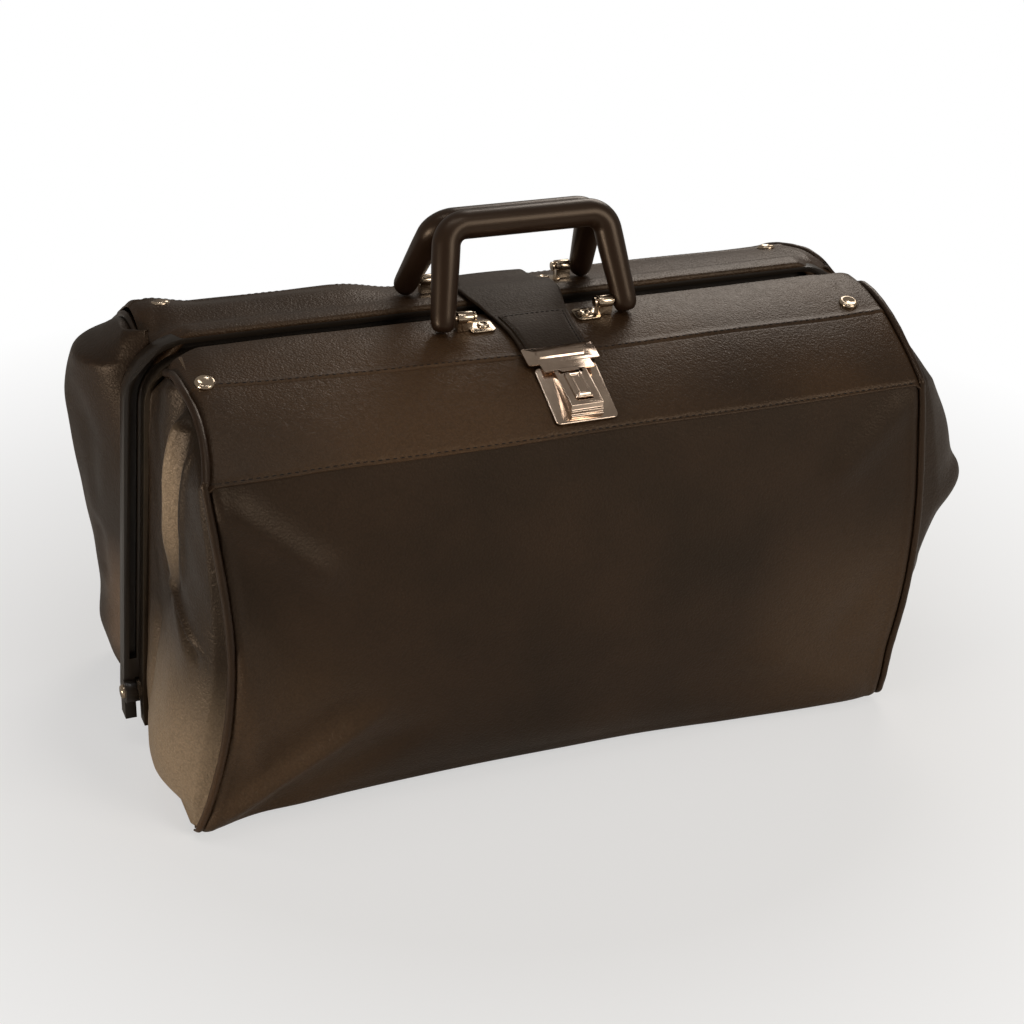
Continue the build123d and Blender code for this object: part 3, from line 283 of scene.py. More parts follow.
def plated(name, colour, roughness, wave, wave_size):
    """Plated sheet steel: a clean metal whose surface rolls gently; wave is its depth in mm."""
    material, tree, shader, place = new_material(name, Metallic=1.0, Roughness=roughness)
    rolling = add(tree, "TexNoise", every(wave_size, place, Detail=2.0))
    scuffs = add(tree, "TexNoise", every(scuff_size, place, Detail=6.0, Roughness=0.7))
    gloss = {"From Min": 0.4, "From Max": 0.75, "To Min": roughness, "To Max": roughness + 0.16}
    dulled = add(tree, "MapRange", {"Value": scuffs, **gloss})
    fill(tree, shader, {"Roughness": dulled})
    two_tone_relief(tree, shader, colour, rolling, rolling, 0.5, wave)
    return material


def coated(name, colour, roughness, relief, relief_size, **sockets):
    """A moulded, painted or woven surface: two close tones and a fine relief; relief is its depth in mm."""
    material, tree, shader, place = new_material(name, Roughness=roughness, **sockets)
    cloudy = add(tree, "TexNoise", every(cloud_size, place, Detail=4.0))
    fine = add(tree, "TexNoise", every(relief_size, place, Detail=3.0))
    two_tone_relief(tree, shader, colour, cloudy, fine, 0.5, relief)
    return material


def woven(name, colour, thread):
    """Plain-weave cloth: two wave patterns at right angles, thread mm apart, press each other down."""
    material, tree, shader, place = new_material(name, Roughness=0.85, Sheen_Weight=0.25)
    spacing = {"Vector": place, "Scale": 1 / (2 * math.pi * thread * mm) * 2, "Distortion": 0.4}
    bands = {}
    for index, direction in enumerate("XZ"):
        threads = add(tree, "TexWave", spacing, wave_type="BANDS", bands_direction=direction)
        bands[index] = threads.outputs["Fac"]
    weave = add(tree, "Math", bands, operation="MULTIPLY")
    two_tone_relief(tree, shader, colour, weave, weave, 0.6, 0.3)
    return material


chrome = plated("nickel-chrome plated steel, bright", ("#b8a58e", "#dccbb6"), 0.13, 0.10, 14.0)
lock_chrome = plated("nickel-chrome plated steel, lock", ("#bda896", "#e3d0bf"), 0.12, 0.08, 11.0)
bare_steel = plated("spring steel, dulled", ("#362e26", "#54493d"), 0.36, 0.12, 22.0)
enamel = coated("stove enamel, black", ("#1b1510", "#282018"), 0.36, 0.06, 1.5, IOR=1.5)
handle_colours = ("#23170f", "#2f2017")
nylon = {"IOR": 1.53, "Specular_Tint": waxed_tint}
moulded = coated("moulded nylon, brown-black", handle_colours, 0.34, 0.05, 0.8, **nylon)
thread_finish = coated("polyester thread, dark", ("#0f0b08", "#1a130e"), 0.9, 0.1, 0.5)
fibreboard = coated("fibreboard, brown", ("#4a3a2a", "#5d4a36"), 0.8, 0.15, 1.0)
lining_cloth = woven("cotton lining, grey-brown", ("#4f463b", "#74695a"), 0.9)
# The record's material slot that each finish stands for
slot_of = dict.fromkeys(made, "leatherette") | dict.fromkeys((piping_leather, thread_finish), "piping")
slot_of |= {chrome: "chrome", lock_chrome: "lock_steel", bare_steel: "frame_steel", enamel: "frame_paint"}
slot_of |= {moulded: "handle_plastic", fibreboard: "fibreboard", lining_cloth: "lining_cloth"}
print("finishes by slot:", {material.name: slot for material, slot in slot_of.items()})

# %% [markdown]
# Mesh helpers
# Every new piece is a grid of points worked out with numpy. A sheet gets its wall from Solidify, inwards
# from the face that shows. Small helpers turn a grid into a mesh, draw a smooth line through a few points
# and lay a row of stitches along a seam.


# %% Grids, pieces and shells
def grid_faces(rows, columns, wrap_columns=False):
    """Four-sided faces between neighbours on a grid; wrapping joins the last column to the first."""
    row = np.arange(rows - 1)[:, None]
    column = np.arange(columns if wrap_columns else columns - 1)[None, :]
    next_column = (column + 1) % columns
    corners = [row * columns + column, row * columns + next_column]
    corners += [(row + 1) * columns + next_column, (row + 1) * columns + column]
    return np.stack([np.broadcast_to(c, (len(row), column.shape[1])) for c in corners], -1).reshape(-1, 4)


def fan_faces(first, sides, pole):
    """Triangles that close a ring of vertices, from its first one on, to a pole."""
    ring = np.arange(sides)
    return np.stack([first + ring, first + (ring + 1) % sides, np.full(sides, pole)], -1)


def unit(vectors):
    """Vectors divided by their lengths."""
    return vectors / np.maximum(np.linalg.norm(vectors, axis=-1, keepdims=True), 1e-9)


def full_turn(count):
    """Angles spaced evenly round a circle."""
    return np.linspace(0, 2 * np.pi, count, endpoint=False)


def new_object(name, data):
    """An object in the scene for a mesh, a lamp or a camera."""
    made = bpy.data.objects.new(name, data)
    bpy.context.scene.collection.objects.link(made)
    return made


def new_piece(name, mesh, material):
    """An object for a mesh, with its material."""
    piece = new_object(name, mesh)
    mesh.materials.append(material)
    return piece


def fit(piece, body, *nodes):
    """Let the piece ride on a body and stand for CAD nodes."""
    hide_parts(*nodes)
    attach(piece, body)
    return piece


def turn_outwards(mesh):
    """Turn the faces of every closed shell outwards."""
    work = bmesh.new()
    work.from_mesh(mesh)
    bmesh.ops.recalc_face_normals(work, faces=work.faces)
    work.to_mesh(mesh)
    work.free()


def mesh_piece(name, points, faces, material):
    """A smooth-shaded object from points in mm and faces of equal length."""
    mesh = bpy.data.meshes.new(name)
    points = np.asarray(points, float).reshape(-1, 3) * mm
    faces = np.asarray(faces)
    mesh.vertices.add(len(points))
    mesh.vertices.foreach_set("co", points.ravel())
    mesh.loops.add(faces.size)
    mesh.loops.foreach_set("vertex_index", faces.ravel())
    mesh.polygons.add(len(faces))
    mesh.polygons.foreach_set("loop_start", np.arange(len(faces)) * faces.shape[1])
    mesh.polygons.foreach_set("use_smooth", np.ones(len(faces), bool))
    mesh.update(calc_edges=True)
    mesh.validate()
    return new_piece(name, mesh, material)


def shell_with_caps(name, points, quads, triangles, material):
    """A closed piece of quads and triangles, turned outwards."""
    mesh = bpy.data.meshes.new(name)
    mesh.from_pydata((points * mm).tolist(), [], quads.tolist() + triangles.tolist())
    turn_outwards(mesh)
    mesh.shade_smooth()
    return new_piece(name, mesh, material)


print("faces of a 3 x 4 grid, open and wrapped:", len(grid_faces(3, 4)), len(grid_faces(3, 4, True)))


# %% Sheets
def grid_normals(points):
    """Unit normals of an open grid: the cross product of the steps along its two directions."""
    across = np.gradient(points, axis=1)
    along = np.gradient(points, axis=0)
    return unit(np.cross(across, along))


def sheet_piece(name, points, material, outward, wall):
    """An open sheet whose face looks outward, with a wall laid inwards from it by Solidify."""
    faces = grid_faces(*points.shape[:2])
    normals = grid_normals(points)
    if (normals.reshape(-1, 3) @ np.asarray(outward, float)).mean() < 0:
        faces = faces[:, ::-1]
    piece = mesh_piece(name, points, faces, material)
    solid = piece.modifiers.new("wall", "SOLIDIFY")
    solid.thickness = wall * mm
    solid.offset = -1
    return piece


def cut_size(points):
    """The flat size in metres of a sheet made on a grid: its longest row and its longest column."""
    across = np.linalg.norm(np.diff(points, axis=1), axis=-1).sum(1).max()
    along = np.linalg.norm(np.diff(points, axis=0), axis=-1).sum(0).max()
    return float(across * mm), float(along * mm)


def cut_area(points):
    """The area of a grid in square metres: a cell is half the cross product of its diagonals."""
    one = points[1:, 1:] - points[:-1, :-1]
    other = points[1:, :-1] - points[:-1, 1:]
    return float(np.linalg.norm(np.cross(one, other), axis=-1).sum() / 2 * mm * mm)


square = np.array([[[x, y, 0] for x in (0, 50, 100)] for y in (0, 100)], float)
print("a 100 mm square's flat size, m:", cut_size(square), "and area, m2:", cut_area(square))


# %% Lines, rises and folds
def travelled_along(line):
    """The distance travelled along a line up to each of its points."""
    return np.concatenate([[0], np.cumsum(np.linalg.norm(np.diff(line, axis=0), axis=1))])


def read_points(line, marks, at):
    """Points on a line at the given marks; each point of the line has a mark of its own."""
    return np.stack([np.interp(at, marks, line[:, k]) for k in range(3)], -1)


def smooth_line(knots, count_or_places):
    """A line through the knots, read at equal shares or at the given shares of its way. Each stretch is a
    cubic that meets its two knots with the slopes that their neighbours give."""
    knots = np.asarray(knots, float)
    if np.ndim(count_or_places) == 0:
        places = np.linspace(0, 1, count_or_places)
    else:
        places = np.asarray(count_or_places, float)
    shares = travelled_along(knots)
    shares = shares / shares[-1]
    slopes = np.gradient(knots, shares, axis=0)
    index = np.clip(np.searchsorted(shares, places, side="right") - 1, 0, len(knots) - 2)
    width = (shares[index + 1] - shares[index])[..., None]
    t = (places - shares[index])[..., None] / width
    start, end = knots[index], knots[index + 1]
    start_slope, end_slope = slopes[index] * width, slopes[index + 1] * width
    return (
        (2 * t**3 - 3 * t**2 + 1) * start
        + (t**3 - 2 * t**2 + t) * start_slope
        + (3 * t**2 - 2 * t**3) * end
        + (t**3 - t**2) * end_slope
    )


def read_curve(knots, at, count=300):
    """Read the smooth line through (place, value) knots at the given places."""
    line = smooth_line(knots, count)
    return np.interp(at, line[:, 0], line[:, 1])


def ease(value, low, high):
    """0 below low, 1 above high, between them 3 t squared less 2 t cubed; t is the share of the way."""
    t = np.clip((value - low) / (high - low), 0, 1)
    return t * t * (3 - 2 * t)


def bump(distance, width):
    """A smooth hump: e to the power of minus the square of distance over width."""
    return np.exp(-((distance / width) ** 2))


def fold(a, b, start, end, width, height, sharp_start=0.25, sharp_end=0.25):
    """A ridge or, with a negative height, a valley: a hump of the distance from a line in a plane with
    coordinates a and b, eased in and out at the line's ends."""
    start, end = np.asarray(start, float), np.asarray(end, float)
    run = end - start
    length = np.hypot(*run)
    share = ((a - start[0]) * run[0] + (b - start[1]) * run[1]) / length**2
    off = ((a - start[0]) * run[1] - (b - start[1]) * run[0]) / length
    fade = ease(share, -0.1, sharp_start) * (1 - ease(share, 1 - sharp_end, 1.1))
    return height * bump(off, width) * fade


across_fold = [round(float(fold(x, 50, (0, 0), (0, 100), 10, 3)), 2) for x in (0, 10, 20)]
print("a fold 3 mm high, at 0, 10 and 20 mm from its line:", across_fold)


# %% Round bars
def tube_piece(name, path, radii, material, sides=14, seed=None):
    """A round bar: rings of the given radii carried along the path, its ends closed to a point."""
    path = np.asarray(path, float)
    tangent = unit(np.gradient(path, axis=0))
    if seed is None:
        seed = (0, 0, 1) if abs(tangent[0][2]) < 0.9 else (1, 0, 0)
    seed = np.array(seed, float)
    across = unit(seed - (tangent @ seed)[:, None] * tangent)
    upward = np.cross(tangent, across)
    turn = full_turn(sides)[None, :, None]
    ring = across[:, None] * np.cos(turn) + upward[:, None] * np.sin(turn)
    points = path[:, None] + ring * np.asarray(radii, float)[:, None, None]
    rows = len(path)
    faces = grid_faces(rows, sides, wrap_columns=True)
    first_pole = rows * sides
    low = fan_faces(0, sides, first_pole)
    high = fan_faces(first_pole - sides, sides, first_pole + 1)
    points = np.vstack([points.reshape(-1, 3), path[0], path[-1]])
    return shell_with_caps(name, points, faces, np.vstack([low, high]), material)


# %% [markdown]
# Stitches
# A lockstitch shows as short round lengths of thread, each sunk at its ends. Each stitch here is a small
# ellipsoid of a few faces, and a whole seam is one mesh.


# %% Stitches
stitch_pitch = 4.6
stitch_length = 3.1
stitch_radius = 0.42
# 24 faces round a stitch and 4 over its ends
stitch_faces = 28


def stitch_row(name, line, normals, body, pitch=stitch_pitch):
    """Ellipsoids laid one after another along a line on a surface, sunk by a fifth of their radius."""
    travelled = travelled_along(line)
    places = np.arange(pitch / 2, travelled[-1], pitch)
    centre = read_points(line, travelled, places)
    normal = read_points(normals, travelled, places)
    ahead, behind = (read_points(line, travelled, places + step) for step in (0.5, -0.5))
    along = unit(ahead - behind)
    across = np.cross(normal, along)
    rings, sides = 5, 6
    lift = np.linspace(-1, 1, rings)[:, None] * 0.92
    waist = np.sqrt(1 - lift**2) * stitch_radius
    turn = full_turn(sides)
    length = np.broadcast_to(lift * stitch_length / 2, (rings, sides))
    local = np.stack([length, waist * np.cos(turn), waist * np.sin(turn)], -1).reshape(-1, 3)
    points = (
        centre[:, None]
        + local[None, :, :1] * along[:, None]
        + local[None, :, 1:2] * across[:, None]
        + (local[None, :, 2:] - stitch_radius * 0.2) * normal[:, None]
    )
    one = grid_faces(rings, sides, wrap_columns=True)
    count = rings * sides
    ends = [[0, 1, 2, 3], [0, 3, 4, 5]]
    ends += [[count - 4, count - 5, count - 6, count - 1], [count - 1, count - 2, count - 3, count - 4]]
    one = np.vstack([one, np.array(ends)])
    faces = (one[None] + (np.arange(len(places)) * count)[:, None, None]).reshape(-1, 4)
    piece = mesh_piece(name, points, faces, thread_finish)
    turn_outwards(piece.data)
    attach(piece, body)


print("stitches in 100 mm:", round(100 / stitch_pitch))

# %% [markdown]
# The bag's section
# The yokes arch over the mouth on one large arc. Below the shoulder seam the walls drop with a slight
# belly. The arch is worked out from the CAD solids' own boxes, so the leather stays where MuJoCo has it.

# %% The arch and the wall's profile
LEFT, RIGHT = -1, 1
FRONT, BACK = -1, 1
SIDE = {LEFT: "left", RIGHT: "right"}
FACE = {FRONT: "front", BACK: "back"}
HALF = {FRONT: "front_half", BACK: "back_half"}
CORNER = {(side, face): f"{FACE[face]}_{SIDE[side]}" for side in SIDE for face in FACE}
front_first = sorted(CORNER, key=lambda corner: corner[::-1])
crest_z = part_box("front_yoke")[1].z / mm
lip_y = -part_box("front_yoke")[0].y / mm
crest_y = 9.0
lip_width, shoulder_drop = 5.8, 37.0
shoulder_y, shoulder_z = lip_y - lip_width, crest_z - shoulder_drop
arch_radius = ((shoulder_y - crest_y) ** 2 + shoulder_drop**2) / (2 * shoulder_drop)
arch_z = crest_z - arch_radius
pivot_z = (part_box("left_hinge_rivet")[0].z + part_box("left_hinge_rivet")[1].z) / 2 / mm
# The wall from the floor up: (how far out, height) in mm
wall_profile = [(114, 2.6), (120.5, 6), (124, 16), (129, 50), (132.8, 94), (133.6, 135), (129.6, 200)]
wall_profile += [(126, 234), (123.6, 249.5)]


def arch_height(y):
    """The arch's height at depth |y|: level to the crest, then a circle."""
    y = np.maximum(np.abs(y), crest_y)
    return arch_z + np.sqrt(arch_radius**2 - (y - crest_y) ** 2)


def wall_depth(z):
    """How far out the wall's middle lies at height z."""
    line = smooth_line(wall_profile, 400)
    return np.interp(z, line[:, 1], line[:, 0])


print("arch radius", round(arch_radius, 1), "shoulder", round(shoulder_y, 1), round(shoulder_z, 1))

# %% [markdown]
# The corner lines
# Piping runs up each of the four corners and over the yokes' ends. Slack leather lets it wander: at the
# front left it dips inwards halfway up, at the front right it bows out. Walls, gussets and piping all
# read these same lines, so they stay joined.

# %% The corners and the lower edge
# Up each corner: (height, how far out) in mm
corner_knots = {
    (LEFT, FRONT): [(3, 253.0), (18, 248.4), (35, 243.8), (75, 235.5), (128, 230.5), (165, 231.5)]
                   + [(205, 235.5), (250, 240.5)],
    (RIGHT, FRONT): [(3, 243.5), (35, 245.6), (90, 248.8), (150, 249.0), (205, 245.5), (250, 241.5)],
    (LEFT, BACK): [(3, 247.0), (60, 242.0), (130, 238.0), (190, 238.5), (250, 241.0)],
    (RIGHT, BACK): [(3, 247.0), (60, 240.0), (120, 235.5), (190, 238.0), (250, 241.0)],
}
wall_foot, wall_top, rim_y = 3.2, 249.0, 17.0


def corner_reach(side, face, z):
    """How far out the piping's centre lies at height z."""
    return read_curve(corner_knots[side, face], z)


# The front wall's bottom edge bows in and up along the bag, and is pushed out at its right end: (x, mm)
bow_knots = [(-252, 0.0), (-232, 1.2), (-205, 2.6), (-165, 5.0), (-100, 6.1), (0, 5.3), (60, 4.0)]
bow_knots += [(105, 0.8), (135, -2.2), (200, -7.0), (252, -4.4)]


def low_edge(face, x, z):
    """How far the wall is drawn in, and up, at place x and height z; only the front wall is."""
    inwards = read_curve(bow_knots, x) * (1 - ease(z, 0, 50)) * (face == FRONT)
    return inwards, 0.4 * np.maximum(inwards, 0)


middle_bow = [round(float(v), 1) for v in low_edge(FRONT, 0, 0)]
print("front wall's lower edge at its middle, mm in and up:", middle_bow)


# %% The yokes' ends
def end_lift(side, face, y):
    """How far the yoke's end is pulled up by the gusset, at depth |y| (only the back left corner peaks)."""
    height = 6.5 if (side, face) == (LEFT, BACK) else 1.0
    return height * bump(np.abs(y) - 68, 22)


# Where the frame's left corner starts to round, and its radius; then the front yoke's right end
left_round = {FRONT: (211.5, 36.0), BACK: (214.6, 42.0)}
right_start, right_radius = 236, 24


def end_drop(face, x, y):
    """How far the yoke falls away over the frame's rounded corner: an arc in x that fades with depth."""
    y = np.abs(y)
    start, radius = left_round[face]
    over = np.clip(-x - start, 0, radius - 6.0)
    left = (radius - np.sqrt(radius**2 - over**2)) * (1 - 0.6 * ease(y, 14, 62) - 0.4 * ease(y, 62, 108))
    if face == FRONT:
        over = np.clip(x - right_start, 0, right_radius - 3)
        right = right_radius - np.sqrt(right_radius**2 - over**2)
    else:
        right = 0.62 * np.maximum(x - 234, 0)
    return left + right * (1 - 0.8 * ease(y, 14, 46) - 0.2 * ease(y, 46, 90))


# Over each yoke's end: (depth, how far out) in mm
end_knots = {
    (LEFT, FRONT): [(10, 236.4), (30, 234.6), (54, 234.2), (74, 232.9), (98, 234.0), (114, 236.8)]
                   + [(126, 240.3)],
    (RIGHT, FRONT): [(10, 252.5), (30, 249.5), (58, 246.5), (90, 243.6), (126, 241.3)],
    (LEFT, BACK): [(0, 241.3), (126, 241.3)],
    (RIGHT, BACK): [(0, 261.5), (10, 261.0), (34, 250.0), (70, 242.0), (126, 241.3)],
}


def end_reach(side, face, y):
    """How far out the yoke's end lies at depth |y|: drawn in at the front left, puffed out at the right."""
    return read_curve(end_knots[side, face], np.abs(y), 200)


print("front yoke's left end, 60 mm deep, at mm:", round(float(end_reach(LEFT, FRONT, 60)), 1))


# %% Corner lines
def corner_line(side, face, count):
    """The whole corner as points from the floor up the wall and over the yoke's end to the rim."""
    wall_z = np.linspace(wall_foot, wall_top, int(count * 0.68))
    wall_x = corner_reach(side, face, wall_z)
    inwards = low_edge(face, side * wall_x, wall_z)[0]
    wall = np.stack([wall_x, wall_depth(wall_z) - 1.6 - inwards, wall_z], -1)
    end_y = np.linspace(shoulder_y, rim_y, count - len(wall_z))
    yoke_x = end_reach(side, face, end_y)
    yoke_z = arch_height(end_y) - 1.5 + end_lift(side, face, end_y) - end_drop(face, side * yoke_x, end_y)
    yoke_z = yoke_z - 2.5 * (1 - ease(end_y, 18, 30))
    yoke = np.stack([yoke_x, end_y, yoke_z], -1)
    line = np.vstack([wall, yoke])
    for _ in range(3):
        line[1:-1] = (line[:-2] + 2 * line[1:-1] + line[2:]) / 4
    return line * [side, face, 1]


print("front left corner at 130 mm up:", round(float(corner_reach(LEFT, FRONT, 130)), 1))

# %% [markdown]
# Bending with the frames When the mouth opens, each half turns about the hinge rivets while the bottom
# stays put. Each point of a sewn piece gets a share from 0 (shell) to 1 (half); the shares are worked
# out here, but no piece is bent by them.


# %% Bend with the mouth
wall_from_leg = 118.0
leg_low, leg_high, wall_high = 35.0, 70.0, 230.0


def half_share(points):
    """The share for points in mm: eased from leg_low to leg_high at the leg, 0 to wall_high at the wall."""
    near_wall = np.clip(np.abs(points[:, 1]) / wall_from_leg, 0, 1)
    return ease(points[:, 2], leg_low * (1 - near_wall), leg_high + (wall_high - leg_high) * near_wall)


def bend_with_half(piece, share=None):
    """Bake the piece's transform and work out its share, the given one or else the one above; nothing bends
    the piece.
    """
    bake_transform(piece)
    if share is None:
        share = half_share(np.array([v.co for v in piece.data.vertices]) / mm)


sample = np.array([[0, 0, 50], [0, -wall_from_leg, 50]])
print("shares 50 mm up, at the leg and at the wall:", half_share(sample).round(2))

# %% [markdown]
# Yokes
# Each yoke is one stiffened panel that arches from the mouth to the shoulder. Its mouth edge is turned
# over: the front one down beside the steel rail, the back one up and over its rail, both deeper at the
# rounded corners. A seam crosses it about 60 mm from the mouth, and its lower edge laps over the wall
# with a line of stitching. The grid's rows follow the seams, so the grooves are crisp.

# %% Lines and rows of the yokes
seam_knots = {
    FRONT: [(-241, 60.0), (-218, 60.9), (-160, 64.0), (-80, 67.5), (0, 69.5), (120, 70.2), (241, 69.8)],
    BACK: [(-241, 66.0), (-100, 67.0), (100, 66.5), (241, 65.0)],
}
mouth_edge = {
    FRONT: [(11.9, 276.0), (11.9, 281.0), (12.2, 284.6), (13.6, 286.3), (16.5, 286.7)],
    BACK: [(0.7, 285.6), (0.7, 288.2), (1.6, 289.9), (3.6, 290.4), (9.0, 290.6), (14.0, 290.3)]
          + [(18.5, 288.6), (23.0, 286.6)],
}
seam_depth = {FRONT: 0.4, BACK: 0.35}
yoke_half, shoulder_edge, end_gap = 240.2, 124.6, 1.1
lower_length = 58
mouth_row, shoulder_row = 1.965, 2.975
yoke_thick = 1.3
# Row places: 0 to 1 along the turned edge, 1 to 2 down to the seam, 2 to 3 down to the shoulder
edge_rows = np.linspace(0, 1, 22)[:-1]
upper_rows = 1 + np.concatenate([np.linspace(0, 0.93, 26), np.linspace(0.94, 1, 8)])[:-1]
lower_rows = [np.linspace(0, 0.07, 8), np.linspace(0.10, 0.90, 30), np.linspace(0.91, 1, 9)]
yoke_rows = np.concatenate([edge_rows, upper_rows, 2 + np.concatenate(lower_rows)])
print("rows of a yoke:", len(yoke_rows), "of which along the turned edge:", len(edge_rows))


# %% Yoke covers
def yoke_end(face, x, y):
    """How far out the yoke's own edge lies at depth y, on the side that x is on."""
    return np.where(x < 0, end_reach(LEFT, face, y), end_reach(RIGHT, face, y)) - end_gap


def spread_columns(count, power):
    """Shares from -1 to 1 across the bag, closer together towards both ends."""
    share = np.linspace(-1, 1, count)
    return (np.sign(share) * (1 - (1 - np.abs(share)) ** power))[None, :]


def yoke_surface(face, columns=300):
    """Points of the yoke: x along the bag, and depth along the turned edge, the arch and the shoulder."""
    rows = yoke_rows[:, None]
    share = spread_columns(columns, 1.25)
    turned = smooth_line(mouth_edge[face], np.clip(rows[:, 0], 0, 1))
    start_y = mouth_edge[face][-1][0]
    seam_y = read_curve(seam_knots[face], yoke_half * share, 200)
    y_upper = start_y + (seam_y - start_y) * (rows - 1)
    y_lower = seam_y + (shoulder_edge - seam_y) * (rows - 2)
    y = np.where(rows < 1, turned[:, :1], np.where(rows < 2, y_upper, y_lower))
    x = share * yoke_end(face, share, y)
    on_arch = arch_height(np.minimum(y, 124.0)) - 1.1 * ease(y, 122.5, shoulder_edge)
    skirt = ease(np.abs(x), 214, 238) * np.clip(1 - rows, 0, 1)
    y = y - 0.4 * skirt
    z = np.where(rows < 1, turned[:, 1:] - 16.0 * skirt, on_arch)
    blend_in = ease(rows, 1.0, 1.25)
    first = len(edge_rows)
    carried_on = turned[-1, 1] + (on_arch - on_arch[first : first + 1])
    z = np.where(rows >= 1, on_arch * blend_in + (1 - blend_in) * carried_on, z)
    z = z + yoke_relief(face, x, y, rows)
    return np.stack([x, np.broadcast_to(y, z.shape), z], -1)


def yoke_relief(face, x, y, rows):
    """Grooves, rolled ends, the outline of the stiffener and the slow waves of a hand-made panel, in mm."""
    below_seam, near_edge = (rows - 2) * lower_length, (rows - shoulder_row) * lower_length
    relief = -seam_depth[face] * bump(below_seam, 0.9) + 0.7 * bump(below_seam + 2.6, 2.2)
    rolled_end = 2.4 * ease(np.abs(x) - yoke_end(face, x, y), -5.7, 0) ** 2
    relief = relief - 0.5 * bump(near_edge, 1.1) - rolled_end
    on_top = ease(rows, 0.4, 1.2)
    relief = relief + 0.45 * np.sin(x / 31 + 0.6) * np.sin(y / 19 + 1.1) * on_top
    relief = relief + 0.25 * np.sin(x / 13 + y / 9) * on_top * bump(x + 150, 70) - end_drop(face, x, y)
    for side in SIDE:
        pucker = np.sin((x * side - 228) / 2.6 + y / 7) * bump(np.abs(x) - 231, 6) * (side * x > 0)
        relief = relief + end_lift(side, face, y) * ease(side * x, 196, 240)
        relief = relief + 0.35 * pucker * ease(y, 18, 26) * (1 - ease(y, 84, 100))
    if face == FRONT:
        stiffener_edge = bump(x - 224, 1.8) * ease(y, 20, 30) * (1 - ease(y, 58, 64))
        return relief + 0.35 * stiffener_edge
    swollen = ease(-x, 60, 104) * ease(y, 22, 50) * (1 - ease(y, 98, 122))
    pressed_flat = bump(y - 92, 24) * (1 - ease(np.abs(x), 64, 86))
    return relief + 6.0 * swollen - 1.1 * pressed_flat


yokes = {}
for face in FACE:
    points = yoke_surface(face) * [1, face, 1]
    yoke = f"{FACE[face]}_yoke"
    piece = sheet_piece(f"{yoke}_cover", points, yoke_leather, (0, 0, 1), yoke_thick)
    fit(piece, HALF[face], yoke)
    yokes[face] = points

# %% Yoke seams
for face in FACE:
    normals = grid_normals(yokes[face])
    normals *= np.sign(normals[..., 2:].mean())
    for name, row in (("mouth_seam", mouth_row), ("shoulder_seam", shoulder_row)):
        seam = (int(np.argmin(np.abs(yoke_rows - row))), slice(6, -6))
        stitch_row(f"{FACE[face]}_{name}", yokes[face][seam], normals[seam], HALF[face])
front_seam = bpy.data.objects["front_mouth_seam"].data
print("stitches in the front mouth seam:", len(front_seam.polygons) // stitch_faces)

# %% [markdown]
# Walls
# The lower walls hang from the shoulder seam to the bottom. They are soft, so they swell in the middle,
# roll in at the piping and pull into long diagonal folds from the corners. Each fold is a ridge along a
# line.

# %% Folds of the walls
# Folds of each wall: from, to as (x, height), width, height of the ridge
wall_folds = {
    FRONT: [
        ((-254, 4), (-132, 80), 8, 7.0), ((-224, 4), (-104, 62), 11, -4.5),
        ((-234, 30), (-140, 92), 18, -4.5), ((-236, 240), (-160, 172), 11, 5.5),
        ((-238, 212), (-176, 96), 18, -4.5), ((-222, 150), (-213, 26), 10, 4.2),
        ((240, 4), (132, 66), 13, 3.4), ((238, 244), (176, 186), 13, 3.0),
        ((232, 120), (190, 60), 15, -2.2), ((-60, 30), (120, 22), 16, 1.2),
    ],
    BACK: [
        ((-238, 8), (-150, 60), 14, 2.0), ((-236, 244), (-170, 180), 13, 2.2),
        ((236, 8), (150, 66), 14, 2.2), ((238, 244), (176, 186), 13, 2.0),
        ((-80, 60), (90, 40), 22, 1.2),
    ],
}
seam_inset = 0.8
soft_thick = 1.4
print("folds of each wall:", {FACE[face]: len(folds) for face, folds in wall_folds.items()})


# %% Wall surfaces
def wall_surface(face, rows=120, columns=260):
    """Points of the wall: height up the profile, and x between the two corner lines."""
    profile = smooth_line(wall_profile, rows)
    z = profile[:, 1:]
    u = spread_columns(columns, 1.35)
    reach = np.where(u < 0, corner_reach(LEFT, face, z), corner_reach(RIGHT, face, z)) - seam_inset
    x = u * reach
    swell = 2.2 * np.cos(u * np.pi / 2) ** 2 * np.sin(np.pi * np.clip(z / 250, 0, 1)) ** 0.8
    from_edge = reach - np.abs(x)
    y = profile[:, :1] + swell - 1.2
    y = y - 3.6 * (1 - ease(from_edge, 0, 4.6)) ** 2 + 0.9 * bump(from_edge - 6.5, 3.0)
    y = y + 0.35 * np.sin(x / 37 + z / 29) * np.sin(z / 21 + 0.5)
    for start, end, width, height in wall_folds[face]:
        y = y + fold(x, z, start, end, width, height)
    inwards, upwards = low_edge(face, x, z)
    return np.stack([x, y - inwards, z + upwards], -1)


for face in FACE:
    points = wall_surface(face) * [1, face, 1]
    piece = sheet_piece(f"{FACE[face]}_wall", points, wall_leather, (0, face, 0), soft_thick)
    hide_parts(f"{FACE[face]}_panel")
    bend_with_half(piece)
print("back wall, mm wide at mid height:", round(float(np.ptp(points[60, :, 0])), 1))

# %% [markdown]
# Gussets
# Each end of the bag is a soft gusset. Its outer edge is sewn into the piping and its inner edge is fixed
# to the frame's leg, so it is modelled in quarters, one at each corner. A quarter is a sheet
# stretched between the two lines, and the folds are ridges and valleys laid over it in depth and height.

# %% The frames' legs
front_frame_reach = 260.3
back_frame_reach = 270.3
frame_splay = 0.0556


def leg_reach(face, z):
    """How far out the frame's leg lies at height z."""
    reach = front_frame_reach if face == FRONT else back_frame_reach
    return reach - frame_splay * (z - pivot_z)


